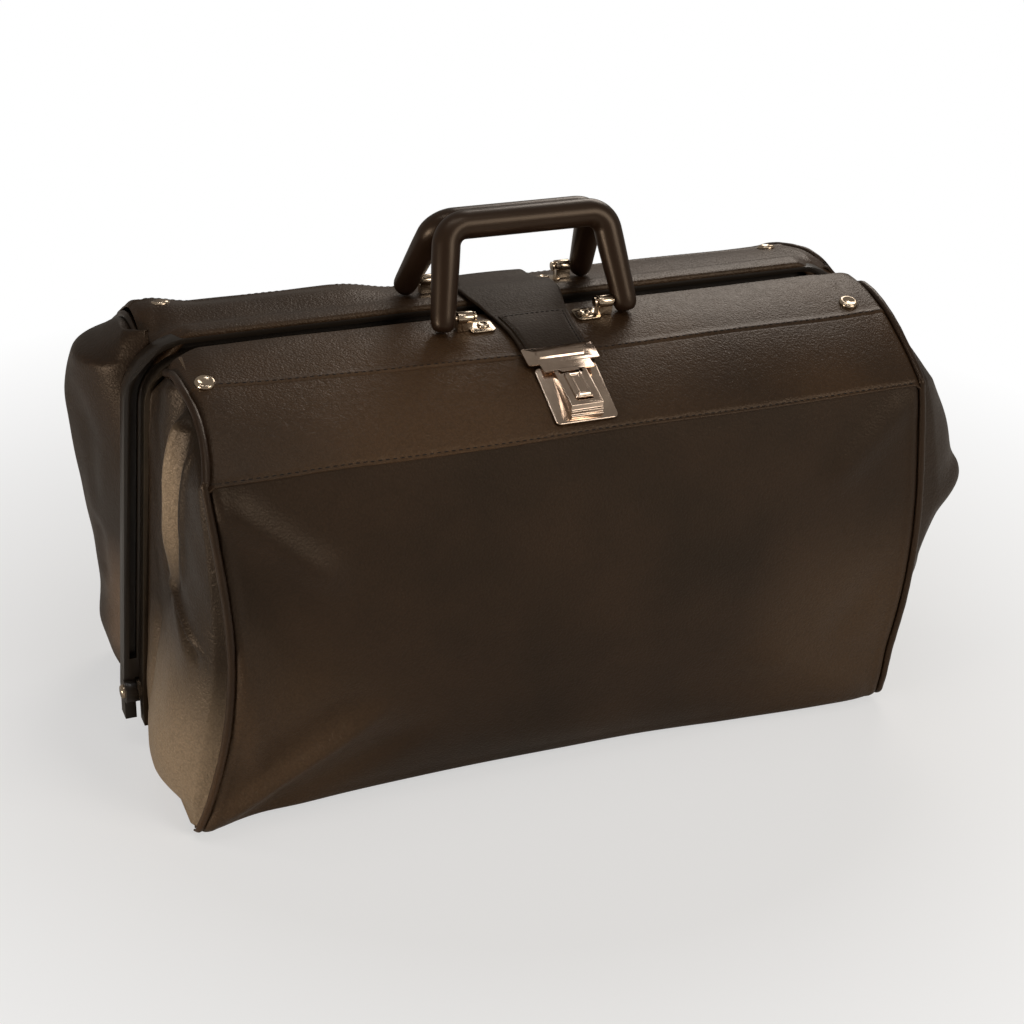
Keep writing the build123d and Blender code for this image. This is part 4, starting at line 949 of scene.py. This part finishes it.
def leg_line(face, count):
    """The gusset's inner edge: up inside the leg's tail, round the hinge and on up to the rail."""
    heights = [3, 11, 19, 28, 36, 47, 80, 140, 200]
    if face == FRONT:
        depth, inset = 11.9, 2.8
        heights += [246, 260, 268]
        low_reach, top_reach = [250.5, 252.6, 254.0, 254.8, 255.2], [243.5, 236.5]
    else:
        depth, inset = 12.9, 5.0
        heights += [250, 268, 277]
        low_reach, top_reach = [250.5, 252.2, 253.4, 254.6, 256.0], [244.5, 238.0]
    reach = low_reach + [leg_reach(face, z) - inset for z in heights[5:10]] + top_reach
    share = [0, 0, 0, 0.3, 0.8, 1, 1, 1, 1, 1, 1, 1.15]
    knots = [(r, depth * s, z) for r, s, z in zip(reach, share, heights)]
    return smooth_line(knots, count)


print("legs 200 mm up lie at x, mm:", [round(leg_reach(face, 200), 1) for face in FACE])

# %% Swell and folds of the quarters
# Each quarter's swell: the crest's place on the way from piping to leg, then (height, reach) up the crest
quarter_swell = {
    (LEFT, FRONT): (0.42, [(3, 255), (12, 260), (26, 265), (45, 267), (75, 262), (120, 251), (165, 246)]
                    + [(232, 243), (262, 240), (290, 236)]),
    (RIGHT, FRONT): (0.34, [(3, 247), (24, 252), (52, 258), (80, 264), (118, 276), (141, 288), (160, 300)]
                     + [(177, 295.5), (204, 287), (225, 277), (247, 265), (266, 256), (290, 252)]),
    (LEFT, BACK): (0.45, [(3, 252), (31, 262), (47, 266), (75, 264), (110, 267), (149, 270), (179, 273)]
                   + [(205, 276), (232, 278), (252, 278), (264, 276), (272, 262), (292, 244)]),
    (RIGHT, BACK): (0.45, [(3, 251), (31, 261), (75, 266), (110, 270), (179, 276), (222, 277), (250, 272)]
                    + [(266, 258), (292, 243)]),
}
quarter_lift = {(LEFT, FRONT): 0.0, (RIGHT, FRONT): 3.0, (LEFT, BACK): 15.0, (RIGHT, BACK): 6.0}
# Folds of each quarter: from, to as (depth, height), width, height of the ridge, how soon each end rises
low_hollows = [((24, 0), (26, 54), 12, -5.0), ((13, -8), (14, 40), 9, -5.0)]
quarter_folds = {
    (LEFT, FRONT): [
        ((50, 276), (47, 138), 11, -9.5, 0.08, 0.25), ((73, 292), (71, 152), 5.4, 8.2, 0.08, 0.35),
        ((85, 268), (81, 165), 2.8, -2.4), ((93, 266), (88, 165), 3.4, 2.8),
        ((68, 162), (114, 133), 2.1, 3.4), ((65, 153), (112, 124), 4, -4.5),
        ((28, 122), (30, 46), 9, -6.0),
    ],
    (RIGHT, FRONT): [
        ((36, 262), (34, 120), 14, -6.0), ((84, 172), (126, 150), 9, 4.0),
        ((80, 120), (120, 96), 8, 2.4),
    ],
    (LEFT, BACK): [
        ((70, 250), (96, 120), 9, 2.5), ((46, 236), (60, 150), 10, -2.5),
        ((58, 140), (66, 90), 12, -2.5), *low_hollows,
    ],
    (RIGHT, BACK): [
        ((70, 240), (96, 120), 9, 2.5), ((48, 230), (62, 140), 10, -2.5), *low_hollows,
    ],
}
print("folds of each quarter:", {CORNER[key]: len(folds) for key, folds in quarter_folds.items()})


# %% Gusset quarters
def quarter_surface(side, face, rows=190, columns=110):
    """Points of one quarter: from piping to leg, swollen out to its crest's reach, with its folds."""
    outer = corner_line(side, face, rows) * [side, face, 1]
    outer = outer - [1.4, 0.8, 0]
    travelled = travelled_along(outer)
    even = np.linspace(0, 1, rows)
    outer = read_points(outer, travelled / travelled[-1], even)
    outer[:, 2] -= 1.6 * ease(outer[:, 2], 246, 256)
    inner = leg_line(face, rows)
    s = np.linspace(0, 1, columns) ** 1.2
    points = outer[:, None] * (1 - s[None, :, None]) + inner[:, None] * s[None, :, None]
    crest, knots = quarter_swell[side, face]
    hump = np.where(s < crest, np.sin(np.pi / 2 * s / crest), np.cos(np.pi / 2 * (s - crest) / (1 - crest)))
    hump = (np.maximum(hump, 0) ** 0.8 * ease(s, -0.01, 0.07))[None, :] * ease(even[:, None], 0, 0.08)
    points[..., 2] += quarter_lift[side, face] * hump * ease(points[..., 2], 205, 250)
    y, z = points[..., 1], points[..., 2]
    below_rim = 1 - ease(even[:, None], 0.93, 1.0)
    out = (read_curve(knots, z) - points[..., 0]) * hump * below_rim
    hold = ease(s[None, :], 0, 0.12) * (1 - ease(s[None, :], 0.9, 1.0)) * ease(even[:, None], 0, 0.1)
    for start, end, width, height, *sharpness in quarter_folds[side, face]:
        out = out + fold(y, z, start, end, width, height, *sharpness) * hold
    out = out + 0.5 * np.sin(y / 8 + z / 17) * np.sin(z / 11 + y / 23) * hold
    crown = 2.0 * ease(s, 0.02, 0.07) * (1 - ease(s, 0.5, 1.0))
    points[..., 0] += out + crown[None, :] * below_rim
    return points * [side, face, 1]


for (side, face), corner in CORNER.items():
    points = quarter_surface(side, face)
    # The front left quarter gets the leather with painted light and shade; the others a darker copy,
    # painted shade where they face away from the light.
    finish = gusset_leather if (side, face) == (LEFT, FRONT) else shaded_gusset_leather
    piece = sheet_piece(f"{corner}_gusset", points, finish, (side, 0, 0), soft_thick)
    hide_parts(f"{corner}_gusset_fold")
    bend_with_half(piece)
    print(piece.name, "reaches, mm:", round(float(np.abs(points[..., 0]).max()), 1))

# %% [markdown]
# Inner gussets
# Between the legs the gusset carries on as a pleat folded into the bag. It spreads like a fan when the
# mouth opens. At rest it is a narrow V, and its share of the turning grows from the middle to each leg.

# %% Inner gussets
pleat_depth = 34.0
half_gap = 10.6
z = np.linspace(6, 262, 90)[:, None]
s = np.linspace(0, 1, 24)[None, :]
reach = np.where(z < pivot_z, 250.5 + 3.6 * z / pivot_z, leg_reach(FRONT, z) - 8.2)
depth = half_gap * s * ease(z, 24, 52)
inward = pleat_depth * (1 - s) * ease(z, 50, 250) + 1.0
x = reach - inward + 1.5 * np.sin(s * 9) * ease(z, 80, 200)
for (side, face), corner in CORNER.items():
    points = np.stack(np.broadcast_arrays(side * x, face * depth, z), -1)
    piece = sheet_piece(f"{corner}_pleat", points, gusset_leather, (side, 0, 0), 1.0)
    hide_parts(f"{SIDE[side]}_gusset")
    bend_with_half(piece, s * ease(z, 34, 70))

# %% [markdown]
# Piping
# The corners are closed with piping: a cord wrapped in a strip of the same leatherette and sewn between
# the two panels. It is a round bar carried along the corner line, with the slight unevenness of hand
# feeding.

# %% Piping
piping_radius = 2.5
for side, face in front_first:
    corner = CORNER[side, face]
    line = corner_line(side, face, 260)
    split = int(np.argmin(np.abs(line[:, 2] - wall_top)))
    count = np.arange(len(line))
    wobble = 1 + 0.03 * np.sin(count / 4.0) + 0.02 * np.sin(count / 1.7)
    radii = piping_radius * wobble * (0.3 + 0.7 * ease(count, 0, 5))
    below, above = slice(split + 2), slice(split, None)
    lower = tube_piece(f"{corner}_piping", line[below], radii[below], piping_leather)
    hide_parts(f"{corner}_welt")
    bend_with_half(lower)
    upper = tube_piece(f"{corner}_yoke_piping", line[above], radii[above], piping_leather)
    fit(upper, HALF[face], f"{FACE[face]}_yoke_welts")
print("piping thickness:", 2 * piping_radius, "mm")

# %% [markdown]
# Bottom and lining
# The bottom is a stiff panel whose leather turns up at the edges. Inside, a cotton lining hangs along the
# walls and lies on the board. Its walls follow the leather's walls, so they are the same surfaces, set
# inwards.

# %% Bottom
bottom_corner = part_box("bottom_panel")[1]
half_x, half_y = bottom_corner.x / mm, bottom_corner.y / mm
bottom_thick, board_thick = 2.0, 2.8
board_half_x, board_half_y, board_top = 244, 98, 5.4


def bottom_surface(columns=160, rows=90):
    """A rounded rectangle flattened from below: its outer ring turns up to meet the walls."""
    u = np.linspace(-1, 1, columns)[None, :]
    v = np.linspace(-1, 1, rows)[:, None]
    power = 14.0
    size = (np.abs(u) ** power + np.abs(v) ** power + 1e-12) ** (1 / power)
    square = np.maximum(np.abs(u), np.abs(v)) + 1e-12
    x = u / size * square * (half_x + 0.6)
    y = v / size * square * (half_y - 3.4)
    lift = 3.4 * ease(square, 0.955, 1.0) ** 1.5
    inwards, upwards = low_edge(FRONT, x, 3.0)
    y = y + inwards * ease(-v, 0.2, 1.0)
    return np.stack([x, y, 0.25 + lift + upwards * ease(-v, 0.7, 1.0)], -1)


def flat_grid(half_width, half_depth, columns, rows):
    """The x and y of an even grid round the middle."""
    x, y = np.linspace(-half_width, half_width, columns), np.linspace(-half_depth, half_depth, rows)
    return np.meshgrid(x, y)


points = bottom_surface()
bottom = sheet_piece("bottom_leather", points, wall_leather, (0, 0, -1), bottom_thick)
fit(bottom, "shell", "bottom_panel")
board_x, board_y = flat_grid(board_half_x, board_half_y, 40, 20)
board_points = np.stack([board_x, board_y, board_top + 0 * board_x], -1)
board = sheet_piece("bottom_board", board_points, fibreboard, (0, 0, 1), board_thick)
fit(board, "shell", "base_board")
print("bottom leather", round(2 * half_x), "x", round(2 * half_y), "mm")

# %% Lining
lining_thick = 0.8
lining_foot, lining_height, wall_height = 6.5, 228, 247
floor_half_x, floor_half_y = 238, 101
for face in FACE:
    points = wall_surface(face, 60, 120)
    points[..., 0] *= 0.965
    points[..., 1] -= 5.0
    points[..., 2] = lining_foot + (points[..., 2] - 3) * (lining_height / wall_height)
    points *= [1, face, 1]
    name = f"{FACE[face]}_lining"
    piece = sheet_piece(name, points, lining_cloth, (0, -face, 0), lining_thick)
    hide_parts("lining")
    bend_with_half(piece)
floor_x, floor_y = flat_grid(floor_half_x, floor_half_y, 60, 30)
floor_z = 6.4 + 0.3 * np.sin(floor_x / 23) * np.sin(floor_y / 17)
floor_points = np.stack([floor_x, floor_y, floor_z], -1)
piece = sheet_piece("floor_lining", floor_points, lining_cloth, (0, 0, 1), lining_thick)
fit(piece, "shell", "lining")

# %% [markdown]
# Copies of pressed parts with soft edges
# The CAD solids of frames, plates and lock have true shapes but knife edges, and a knife edge catches no
# light. A copy is merged, its flat triangles are joined back into whole faces, and Bevel rounds the
# edges.


# %% Soft-edged copies
def soft_edged(node, material, width):
    """A copy of a CAD node with its edges rounded by width mm, standing for the node."""
    source = frame["nodes"][node]
    mesh = source.data.copy()
    work = bmesh.new()
    work.from_mesh(mesh)
    bmesh.ops.remove_doubles(work, verts=work.verts, dist=0.002 * mm)
    bmesh.ops.dissolve_limit(work, angle_limit=math.radians(1.0), verts=work.verts, edges=work.edges)
    bmesh.ops.recalc_face_normals(work, faces=work.faces)
    work.to_mesh(mesh)
    work.free()
    mesh.materials.clear()
    mesh.shade_smooth()
    piece = new_piece(f"{node}_finished", mesh, material)
    bevel = piece.modifiers.new("soft edges", "BEVEL")
    bevel.width = width * mm
    bevel.segments = 2
    bevel.limit_method = "ANGLE"
    bevel.angle_limit = math.radians(32)
    bevel.harden_normals = True
    return fit(piece, source["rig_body"], node)


soft_edged("front_frame", bare_steel, 0.5)
soft_edged("back_frame", enamel, 0.8)
for corner in front_first:
    soft_edged(f"{CORNER[corner]}_handle_plate", chrome, 0.25)
for node, width in {"hasp_plate": 0.4, "lock_base_plate": 0.6, "lock_housing": 0.7}.items():
    soft_edged(node, lock_chrome, width)

# %% [markdown]
# The lock's button
# The button is a cap with a raised rectangular line, standing a little proud of the sloping housing. It
# is built in the lock's own plane, which lies on the yoke 101 mm from the middle.

# %% The lock's plane and button
lock_depth = 101.0
lock_tilt = math.asin((lock_depth - crest_y) / arch_radius)
lock_origin = np.array([0, -lock_depth, float(arch_height(lock_depth))])
lock_up = np.array([0, math.cos(lock_tilt), math.sin(lock_tilt)])
lock_out = np.array([0, -math.sin(lock_tilt), math.cos(lock_tilt)])


def on_lock(u, v, height):
    """A point in the lock's plane: u along the bag, v up the slope, height off the yoke."""
    u, v, height = np.broadcast_arrays(*(np.asarray(a, float)[..., None] for a in (u, v, height)))
    return lock_origin + u * np.array([1.0, 0, 0]) + v * lock_up + (height + 0.2) * lock_out


def pressed_panel(name, centre, half, profile, slope):
    """A rectangle pressed in steps: each step of the profile is (inset from the edge, height)."""
    corner = 1.2
    cos, sin = np.cos(full_turn(48)), np.sin(full_turn(48))
    rings = []
    for inset, height in profile:
        half_u, half_v = half[0] - inset, half[1] - inset
        radius = max(corner - inset * 0.4, 0.3)
        u = np.clip(cos * 3, -1, 1) * (half_u - radius) + radius * cos
        v = np.clip(sin * 3, -1, 1) * (half_v - radius) + radius * sin
        rings.append(on_lock(centre[0] + u, centre[1] + v, height + slope * (centre[1] + v)))
    points = np.stack(rings)
    middle = points[-1].mean(0)
    rows, sides = points.shape[:2]
    quads = grid_faces(rows, sides, wrap_columns=True)
    last = rows * sides
    points = np.vstack([points.reshape(-1, 3), middle])
    fan = fan_faces(last - sides, sides, last)
    return shell_with_caps(name, points, quads, fan, lock_chrome)


housing_low, housing_high, housing_length = 5.6, 9.6, 30.5
housing_slope = (housing_low - housing_high) / housing_length
button_base = housing_low - housing_slope * 15.0 + 0.2
# Inset and height in mm: up the side, over the border, up and down the raised line, across the middle
button_profile = [(0.0, -3.0), (0.0, 0.8), (0.25, 1.1), (1.0, 1.1), (1.2, 1.3), (1.9, 2.15), (2.1, 2.25)]
button_profile += [(2.3, 2.15), (3.0, 1.3), (3.2, 1.0), (4.5, 1.0)]
button_profile = [(inset, button_base + height) for inset, height in button_profile]
button_half = (5.8, 10.9)
button = pressed_panel("lock_button_face", (0, 0.9), button_half, button_profile, housing_slope)
fit(button, "slider", "lock_button")
print("button, mm:", [2 * half for half in button_half])

# %% [markdown]
# Rivets
# Tubular rivets with a dished cap: a bright rolled rim round a shallow hollow. Each cap is a profile
# turned about the rivet's own axis. Identical rivets are one piece.


# %% Dished rivets
def rivet_caps(name, centres, axes, size, nodes, body):
    """Turned caps: rings whose share of the radius and height follows a rolled rim and a dished middle."""
    shares = [(1.0, -0.25), (1.0, 0.15), (0.94, 0.62), (0.84, 0.92), (0.72, 1.0), (0.6, 0.9), (0.45, 0.66)]
    shares = np.array(shares + [(0.25, 0.52), (0.08, 0.5)])
    sides = 40
    turn = full_turn(sides)
    points, quads, fans = [], [], []
    for centre, axis in zip(centres, axes):
        axis = unit(np.asarray(axis, float))
        side = unit(np.cross(axis, [0, 0, 1.0] if abs(axis[2]) < 0.95 else [1.0, 0, 0]))
        other = np.cross(axis, side)
        ring = np.cos(turn)[:, None] * side + np.sin(turn)[:, None] * other
        widths, lifts = shares[:, :1, None] * size[0], shares[:, 1:, None] * size[1]
        cap = np.asarray(centre, float) + ring[None] * widths + lifts * axis
        start = sum(len(p) for p in points)
        peak = start + len(shares) * sides
        points.append(np.vstack([cap.reshape(-1, 3), cap[-1].mean(0), cap[0].mean(0)]))
        quads.append(grid_faces(len(shares), sides, wrap_columns=True) + start)
        fans += [fan_faces(peak - sides, sides, peak), fan_faces(start, sides, peak + 1)]
    shell = [np.vstack(part) for part in (points, quads, fans)]
    return fit(shell_with_caps(name, *shell, chrome), body, *nodes)


def arch_normal(y):
    """The outward normal of the arch at depth y."""
    tilt = math.asin((abs(y) - crest_y) / arch_radius)
    return np.array([0, math.copysign(math.sin(tilt), y), math.cos(tilt)])


print("arch's normal 56 mm behind the middle:", arch_normal(56.0).round(3))

# %% Rivet caps
corner_x, corner_y = 221.5, 56.0
plate_x, plate_y, plate_top = 35.5, 33.0, 1.45
back_left_swell = 4.5
# Radius and height of each kind of cap
corner_cap, plate_cap, hinge_cap = (6.4, 2.0), (3.9, 1.5), (4.75, 2.4)
for face in FACE:
    normal = arch_normal(face * corner_y)
    sunk = float(end_drop(face, corner_x, corner_y)) - 0.3
    seat_z = float(arch_height(corner_y)) - sunk
    seats = [np.array([side * corner_x, face * corner_y, seat_z]) for side in SIDE]
    if face == BACK:
        peak = float(end_lift(LEFT, BACK, corner_y) * ease(corner_x, 196, 240))
        seats[0][2] += back_left_swell + peak
    name = f"{FACE[face]}_corner_rivet"
    rivet_caps(f"{name}_caps", seats, [normal, normal], corner_cap, [f"{name}s"], HALF[face])
    normal = arch_normal(face * plate_y)
    plate_z = float(arch_height(plate_y))
    seats = [np.array([side * plate_x, face * plate_y, plate_z]) for side in SIDE]
    seats = [seat + normal * plate_top for seat in seats]
    name = f"{FACE[face]}_handle_rivet"
    rivet_caps(f"{name}_caps", seats, [normal, normal], plate_cap, [f"{name}s"], HALF[face])
for side in SIDE:
    outer_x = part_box(f"{SIDE[side]}_hinge_rivet")[side == RIGHT].x / mm
    seat = np.array([outer_x - side * hinge_cap[1], 0, pivot_z])
    rivet_caps(f"{SIDE[side]}_hinge_cap", [seat], [np.array([side, 0, 0])], hinge_cap, [], "shell")
print("corner rivets at x", corner_x, "and handle plates' rivets at x", plate_x)

# %% [markdown]
# Handles
# Each handle is a moulded bow: a straight bar, two elbows and legs that taper to rounded feet. It is a
# round section carried along a line with arcs at the elbows, in a plane that leans on the other handle.

# %% Handles
handle_pivot_y, handle_pivot_z = 34.08, 294.14
handle_lean = {FRONT: math.radians(21.0), BACK: math.radians(30.75)}
foot_x, bar_x, bar_height = 63.0, 54.0, 57.5
foot_radius, bar_radius, elbow_radius = 7.9, 9.1, 14.0


def bow_line():
    """The right half of the bow in its own plane: foot, leg, elbow arc, half the bar; then mirrored."""
    leg = np.array([bar_x - foot_x, bar_height])
    leg_length = np.hypot(*leg)
    direction = leg / leg_length
    turn = math.acos(direction @ np.array([-1.0, 0.0]))
    cut = elbow_radius * math.tan(turn / 2)
    corner = np.array([bar_x, bar_height])
    arc_start = corner - direction * cut
    normal = np.array([-direction[1], direction[0]])
    centre = arc_start + normal * elbow_radius
    start_angle = math.atan2(*(arc_start - centre)[::-1])
    angles = start_angle + np.linspace(0, turn, 22)
    arc = centre + elbow_radius * np.stack([np.cos(angles), np.sin(angles)], -1)
    below = foot_radius * np.sin(np.linspace(-np.pi / 2, 0, 10))[:, None] * direction
    foot = np.array([foot_x, 0.0])
    leg_points = foot + direction * np.linspace(0, leg_length - cut, 30)[1:-1, None]
    bar = np.stack([np.linspace(arc[-1, 0], 0, 24)[1:], np.full(23, bar_height)], -1)
    half = np.vstack([foot + below, leg_points, arc, bar])
    below_radius = foot_radius * np.cos(np.linspace(-np.pi / 2, 0, 10)) ** 0.55
    leg_radius = foot_radius + (bar_radius - foot_radius) * ease(np.linspace(0, 1, 30)[1:-1], -0.2, 1.0)
    bar_radii = np.full(len(arc) + len(bar), bar_radius)
    radii = np.concatenate([np.maximum(below_radius, 0.35), leg_radius, bar_radii])
    line = np.vstack([half, half[::-1][1:] * [-1, 1]])
    return line, np.concatenate([radii, radii[::-1][1:]])


bow, bow_radii = bow_line()
for face in FACE:
    depth = handle_pivot_y - bow[:, 1] * math.sin(handle_lean[face])
    height = handle_pivot_z + bow[:, 1] * math.cos(handle_lean[face])
    path = np.stack([bow[:, 0], face * depth, height], -1)
    name = f"{FACE[face]}_handle_bow"
    piece = tube_piece(name, path, bow_radii, moulded, sides=32, seed=(0, 1, 0))
    fit(piece, f"{FACE[face]}_grip", f"{FACE[face]}_handle")
print("handle window, mm:", round(2 * (bar_x - bar_radius)), "wide at the bar")

# %% [markdown]
# Strap
# The closing strap is fixed to the back yoke, crosses the mouth and hangs down to the lock. It is a flat
# ribbon, broad over the mouth and narrower at the hasp, in two lengths: the back length bends over the
# mouth's joint, and the tip length, with its stitched facing on top, bends where it is lifted.

# %% Strap helpers
# From the hasp to the back yoke: (depth, half the width) in mm
strap_widths = [(-82, 22.0), (-78, 22.5), (-63, 22.6), (-48, 23.2), (-35, 24.8), (-22, 27.2)]
strap_widths += [(-10, 30.0), (2, 33.0), (12, 33.8), (20, 33.4), (28, 29.0), (66, 27.5)]
strap_thick = 1.7


def strap_half(y):
    """Half the strap's width at depth y."""
    return read_curve(strap_widths, y)


def ribbon(name, path, halves, thick, crown, groove_at=None):
    """A flat band with rounded edges: a closed flattened section carried along a line in Y and Z."""
    path = np.asarray(path, float)
    tangent = unit(np.gradient(path, axis=0))
    normal = np.stack([-tangent[:, 1], tangent[:, 0]], -1)
    normal *= np.sign(normal[:, 1].mean())
    across = np.concatenate([np.linspace(-1, 1, 61), np.linspace(1, -1, 61)[1:-1]])
    top = np.concatenate([np.ones(61), -np.ones(59)])
    edge = np.sqrt(np.clip(1 - np.clip((np.abs(across) - 0.955) / 0.045, 0, 1) ** 2, 0, 1))
    lift = top * edge * thick / 2
    x = across[None, :] * np.asarray(halves)[:, None]
    lift = lift[None, :] + crown * (1 - across[None, :] ** 2)
    if groove_at is not None:
        from_edge = np.asarray(halves)[:, None] - np.abs(x)
        lift = lift - (top > 0)[None, :] * 0.35 * bump(from_edge - groove_at, 0.8)
    y = path[:, :1] + normal[:, :1] * lift
    z = path[:, 1:] + normal[:, 1:] * lift
    points = np.stack([x, y, z], -1)
    rows, sides = points.shape[:2]
    quads = grid_faces(rows, sides, wrap_columns=True)
    j = np.arange(30)
    low = np.stack([j, j + 1, sides - 1 - j, (sides - j) % sides], -1)
    ends = [low[1:], low[1:][:, ::-1] + (rows - 1) * sides]
    faces = np.vstack([quads] + ends)
    no_caps = np.zeros((0, 3), int)
    vertices = points.reshape(-1, 3)
    return shell_with_caps(name, vertices, faces, no_caps, strap_leather), points


print("strap, mm wide:", [round(2 * float(strap_half(y)), 1) for y in (10, -25, -70)])

# %% Strap
back_run = [(y, float(arch_height(y)) + up) for y, up in ((66, 1.3), (58, 3.4), (48, 4.6), (34, 3.6))]
back_run += [(24, 290.4), (17, 291.9), (9, 292.2), (3, 292.0), (-4, 291.3), (-14, 289.6), (-25, 287.5)]
back_run += [(-31, float(arch_height(31)) + 1.2)]
strap_path = smooth_line(back_run, 110)
halves = strap_half(strap_path[:, 0])
piece, _ = ribbon("strap_back_length", strap_path, halves, strap_thick, 0.5)
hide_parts("strap_anchor", "strap_root")
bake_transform(piece)
tip_y = -np.linspace(23.5, 79.5, 74)
tip_z = arch_height(tip_y) + 0.5 + 1.0
tip_path = np.stack([tip_y, np.where(tip_y > -25, tip_z + 0.4, tip_z + 0.2)], -1)
piece, _ = ribbon("strap_tip_length", tip_path, strap_half(tip_y), 1.5, 0.35)
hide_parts("strap_flap")
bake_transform(piece)
facing_y = -np.linspace(27.5, 78.5, 64)
facing_path = np.stack([facing_y, arch_height(facing_y) + 2.9], -1)
halves = strap_half(facing_y) - 3.0
piece, facing_points = ribbon("strap_facing_panel", facing_path, halves, 1.1, 0.3, groove_at=1.6)
fit(piece, "strap_tip", "strap_facing")
print("facing, mm wide at its ends:", [round(2 * float(half), 1) for half in (halves[0], halves[-1])])

# %% Strap stitches
strap_pitch = 3.6
top_side = facing_points[:, :61]
across_share = np.linspace(-1, 1, 61)
left_column, right_column = (int(np.argmin(np.abs(across_share - place))) for place in (-0.92, 0.92))
strap_lines = {
    "left": top_side[1:-2, left_column],
    "right": top_side[1:-2, right_column],
    "cross": top_side[2, 4:57],
}
for label, line in strap_lines.items():
    normals = np.stack([arch_normal(y) for y in line[:, 1]])
    stitch_row(f"strap_{label}_stitches", line, normals, "strap_tip", strap_pitch)
print("strap stitch rows:", list(strap_lines))

# %% [markdown]
# Hidden and small CAD parts
# What the camera can hardly see keeps its CAD shape and gets its real finish.

# %% Finish the CAD nodes that stay
finishes = {"lock_backing_plate": lock_chrome, "lock_spring": bare_steel, "lock_bolt": lock_chrome}
for face in FACE.values():
    finishes |= {f"{face}_stiffener": fibreboard, f"{face}_handle_pins": chrome}
for side in SIDE.values():
    finishes |= {f"{side}_hinge_{kind}": chrome for kind in ("rivet", "washer", "plate")}
for node, material in finishes.items():
    materials = frame["nodes"][node].data.materials
    materials.clear()
    materials.append(material)
print("CAD nodes finished:", len(finishes))

# %% [markdown]
# Studio
# A pale floor, three soft lamps, a narrow strip overhead and a dim pale world. The white surround comes
# from the floor and world as the camera sees them, so no extra light falls on the bag. Is Camera Ray
# picks them, and Is Glossy Ray shows metal and gloss a room about twice as bright as the one that lights
# the bag.


# %% Floor and world
def bare_tree(owner):
    """The empty node tree of a material or a world."""
    owner.use_nodes = True
    owner.node_tree.nodes.clear()
    return owner.node_tree


floor_size = 6000.0
floor_points = np.array([[[x, y, 0] for x in (-1, 1)] for y in (-1, 1)], float) * floor_size / 2
paper = bpy.data.materials.new("matt paper, white")
floor = mesh_piece("studio_floor", floor_points, grid_faces(2, 2), paper)
floor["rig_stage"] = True
tree = bare_tree(paper)
matt = add(tree, "BsdfDiffuse", {"Color": linear("#f2f1ef")})
glow = add(tree, "Emission", {"Color": (1, 1, 1, 1), "Strength": 1.0})
where = add(tree, "LightPath")
place = add(tree, "TexCoord").outputs["Object"]
distance = add(tree, "VectorMath", {0: place}, operation="LENGTH")
fading = {"From Min": 0.3, "From Max": 0.75, "To Min": 0.55, "To Max": 1.0}
far = add(tree, "MapRange", {"Value": distance, **fading})
camera_ray = where.outputs["Is Camera Ray"]
seen = add(tree, "Math", {0: camera_ray, 1: far}, operation="MULTIPLY")
shaders = {1: matt, 2: glow}
mixed = add(tree, "MixShader", {0: seen, **shaders})
add(tree, "OutputMaterial", {"Surface": mixed})

world = bpy.data.worlds.new("studio")
bpy.context.scene.world = world
tree = bare_tree(world)
where = add(tree, "LightPath")
dim, gloss_gain = 0.17, 0.15
levels = {0: where.outputs["Is Glossy Ray"], 1: gloss_gain, 2: dim}
level = add(tree, "Math", levels, operation="MULTIPLY_ADD")
room = add(tree, "Background", {"Color": linear("#d8d0c6"), "Strength": level})
white = add(tree, "Background", {"Color": (1, 1, 1, 1), "Strength": 1.0})
shaders = {1: room, 2: white}
mixed = add(tree, "MixShader", {0: where.outputs["Is Camera Ray"], **shaders})
add(tree, "OutputWorld", {"Surface": mixed})
print("floor", floor_size / 1000, "m")


# %% Lamps and camera
def softbox(name, position, target, size, power, colour="#ffffff"):
    """A square area lamp at a position in mm, aimed at a target."""
    data = bpy.data.lights.new(name, "AREA")
    data.shape = "RECTANGLE"
    data.size, data.size_y = size[0] * mm, size[1] * mm
    data.energy = power
    data.color = linear(colour)[:3]
    lamp = new_object(name, data)
    lamp.location = Vector(position) * mm
    lamp.rotation_euler = (Vector(target) - Vector(position)).to_track_quat("-Z", "Y").to_euler()


softbox("lamp over the back right", (950, 1100, 1150), (60, 0, 150), (800, 700), 7.5, "#fff8f0")
softbox("lamp at the left", (-1400, -420, 210), (-100, 0, 120), (450, 350), 7.0, "#fff2e2")
softbox("lamp at the front right", (900, -1500, 1100), (0, 0, 120), (1000, 800), 12.0, "#fff6ea")
softbox("strip lamp overhead", (-150, -250, 1500), (0, -90, 260), (1200, 60), 2.5)

focal_pixels = 1875.9
image_width = 1024.0
yaw, pitch, roll = (math.radians(a) for a in (24.0, 27.9, 2.7))
camera_place = Vector((-463.6, -1053.8, 739.9)) * mm
forward = Vector((math.sin(yaw) * math.cos(pitch), math.cos(yaw) * math.cos(pitch), -math.sin(pitch)))
level_right = forward.cross(Vector((0, 0, 1))).normalized()
level_up = level_right.cross(forward)
right = math.cos(roll) * level_right + math.sin(roll) * level_up
up = -math.sin(roll) * level_right + math.cos(roll) * level_up
lens = bpy.data.cameras.new("camera")
lens.sensor_width = 36.0
lens.lens = focal_pixels / image_width * lens.sensor_width
camera = new_object("camera", lens)
turn = Matrix((right, up, -forward)).transposed()
camera.matrix_world = Matrix.Translation(camera_place) @ turn.to_4x4()
bpy.context.scene.camera = camera
bpy.context.scene.view_settings.view_transform = "Standard"
print("lens", round(lens.lens, 1), "mm")

# %% Sizes and finish
bpy.context.view_layer.update()
visual_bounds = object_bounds()
sizes = {"cad": cad_bounds, "visual": visual_bounds}
sizes = {name: [list(corner) for corner in bounds] for name, bounds in sizes.items()}
print("visual box, mm:", [[round(v / mm, 1) for v in corner] for corner in visual_bounds])
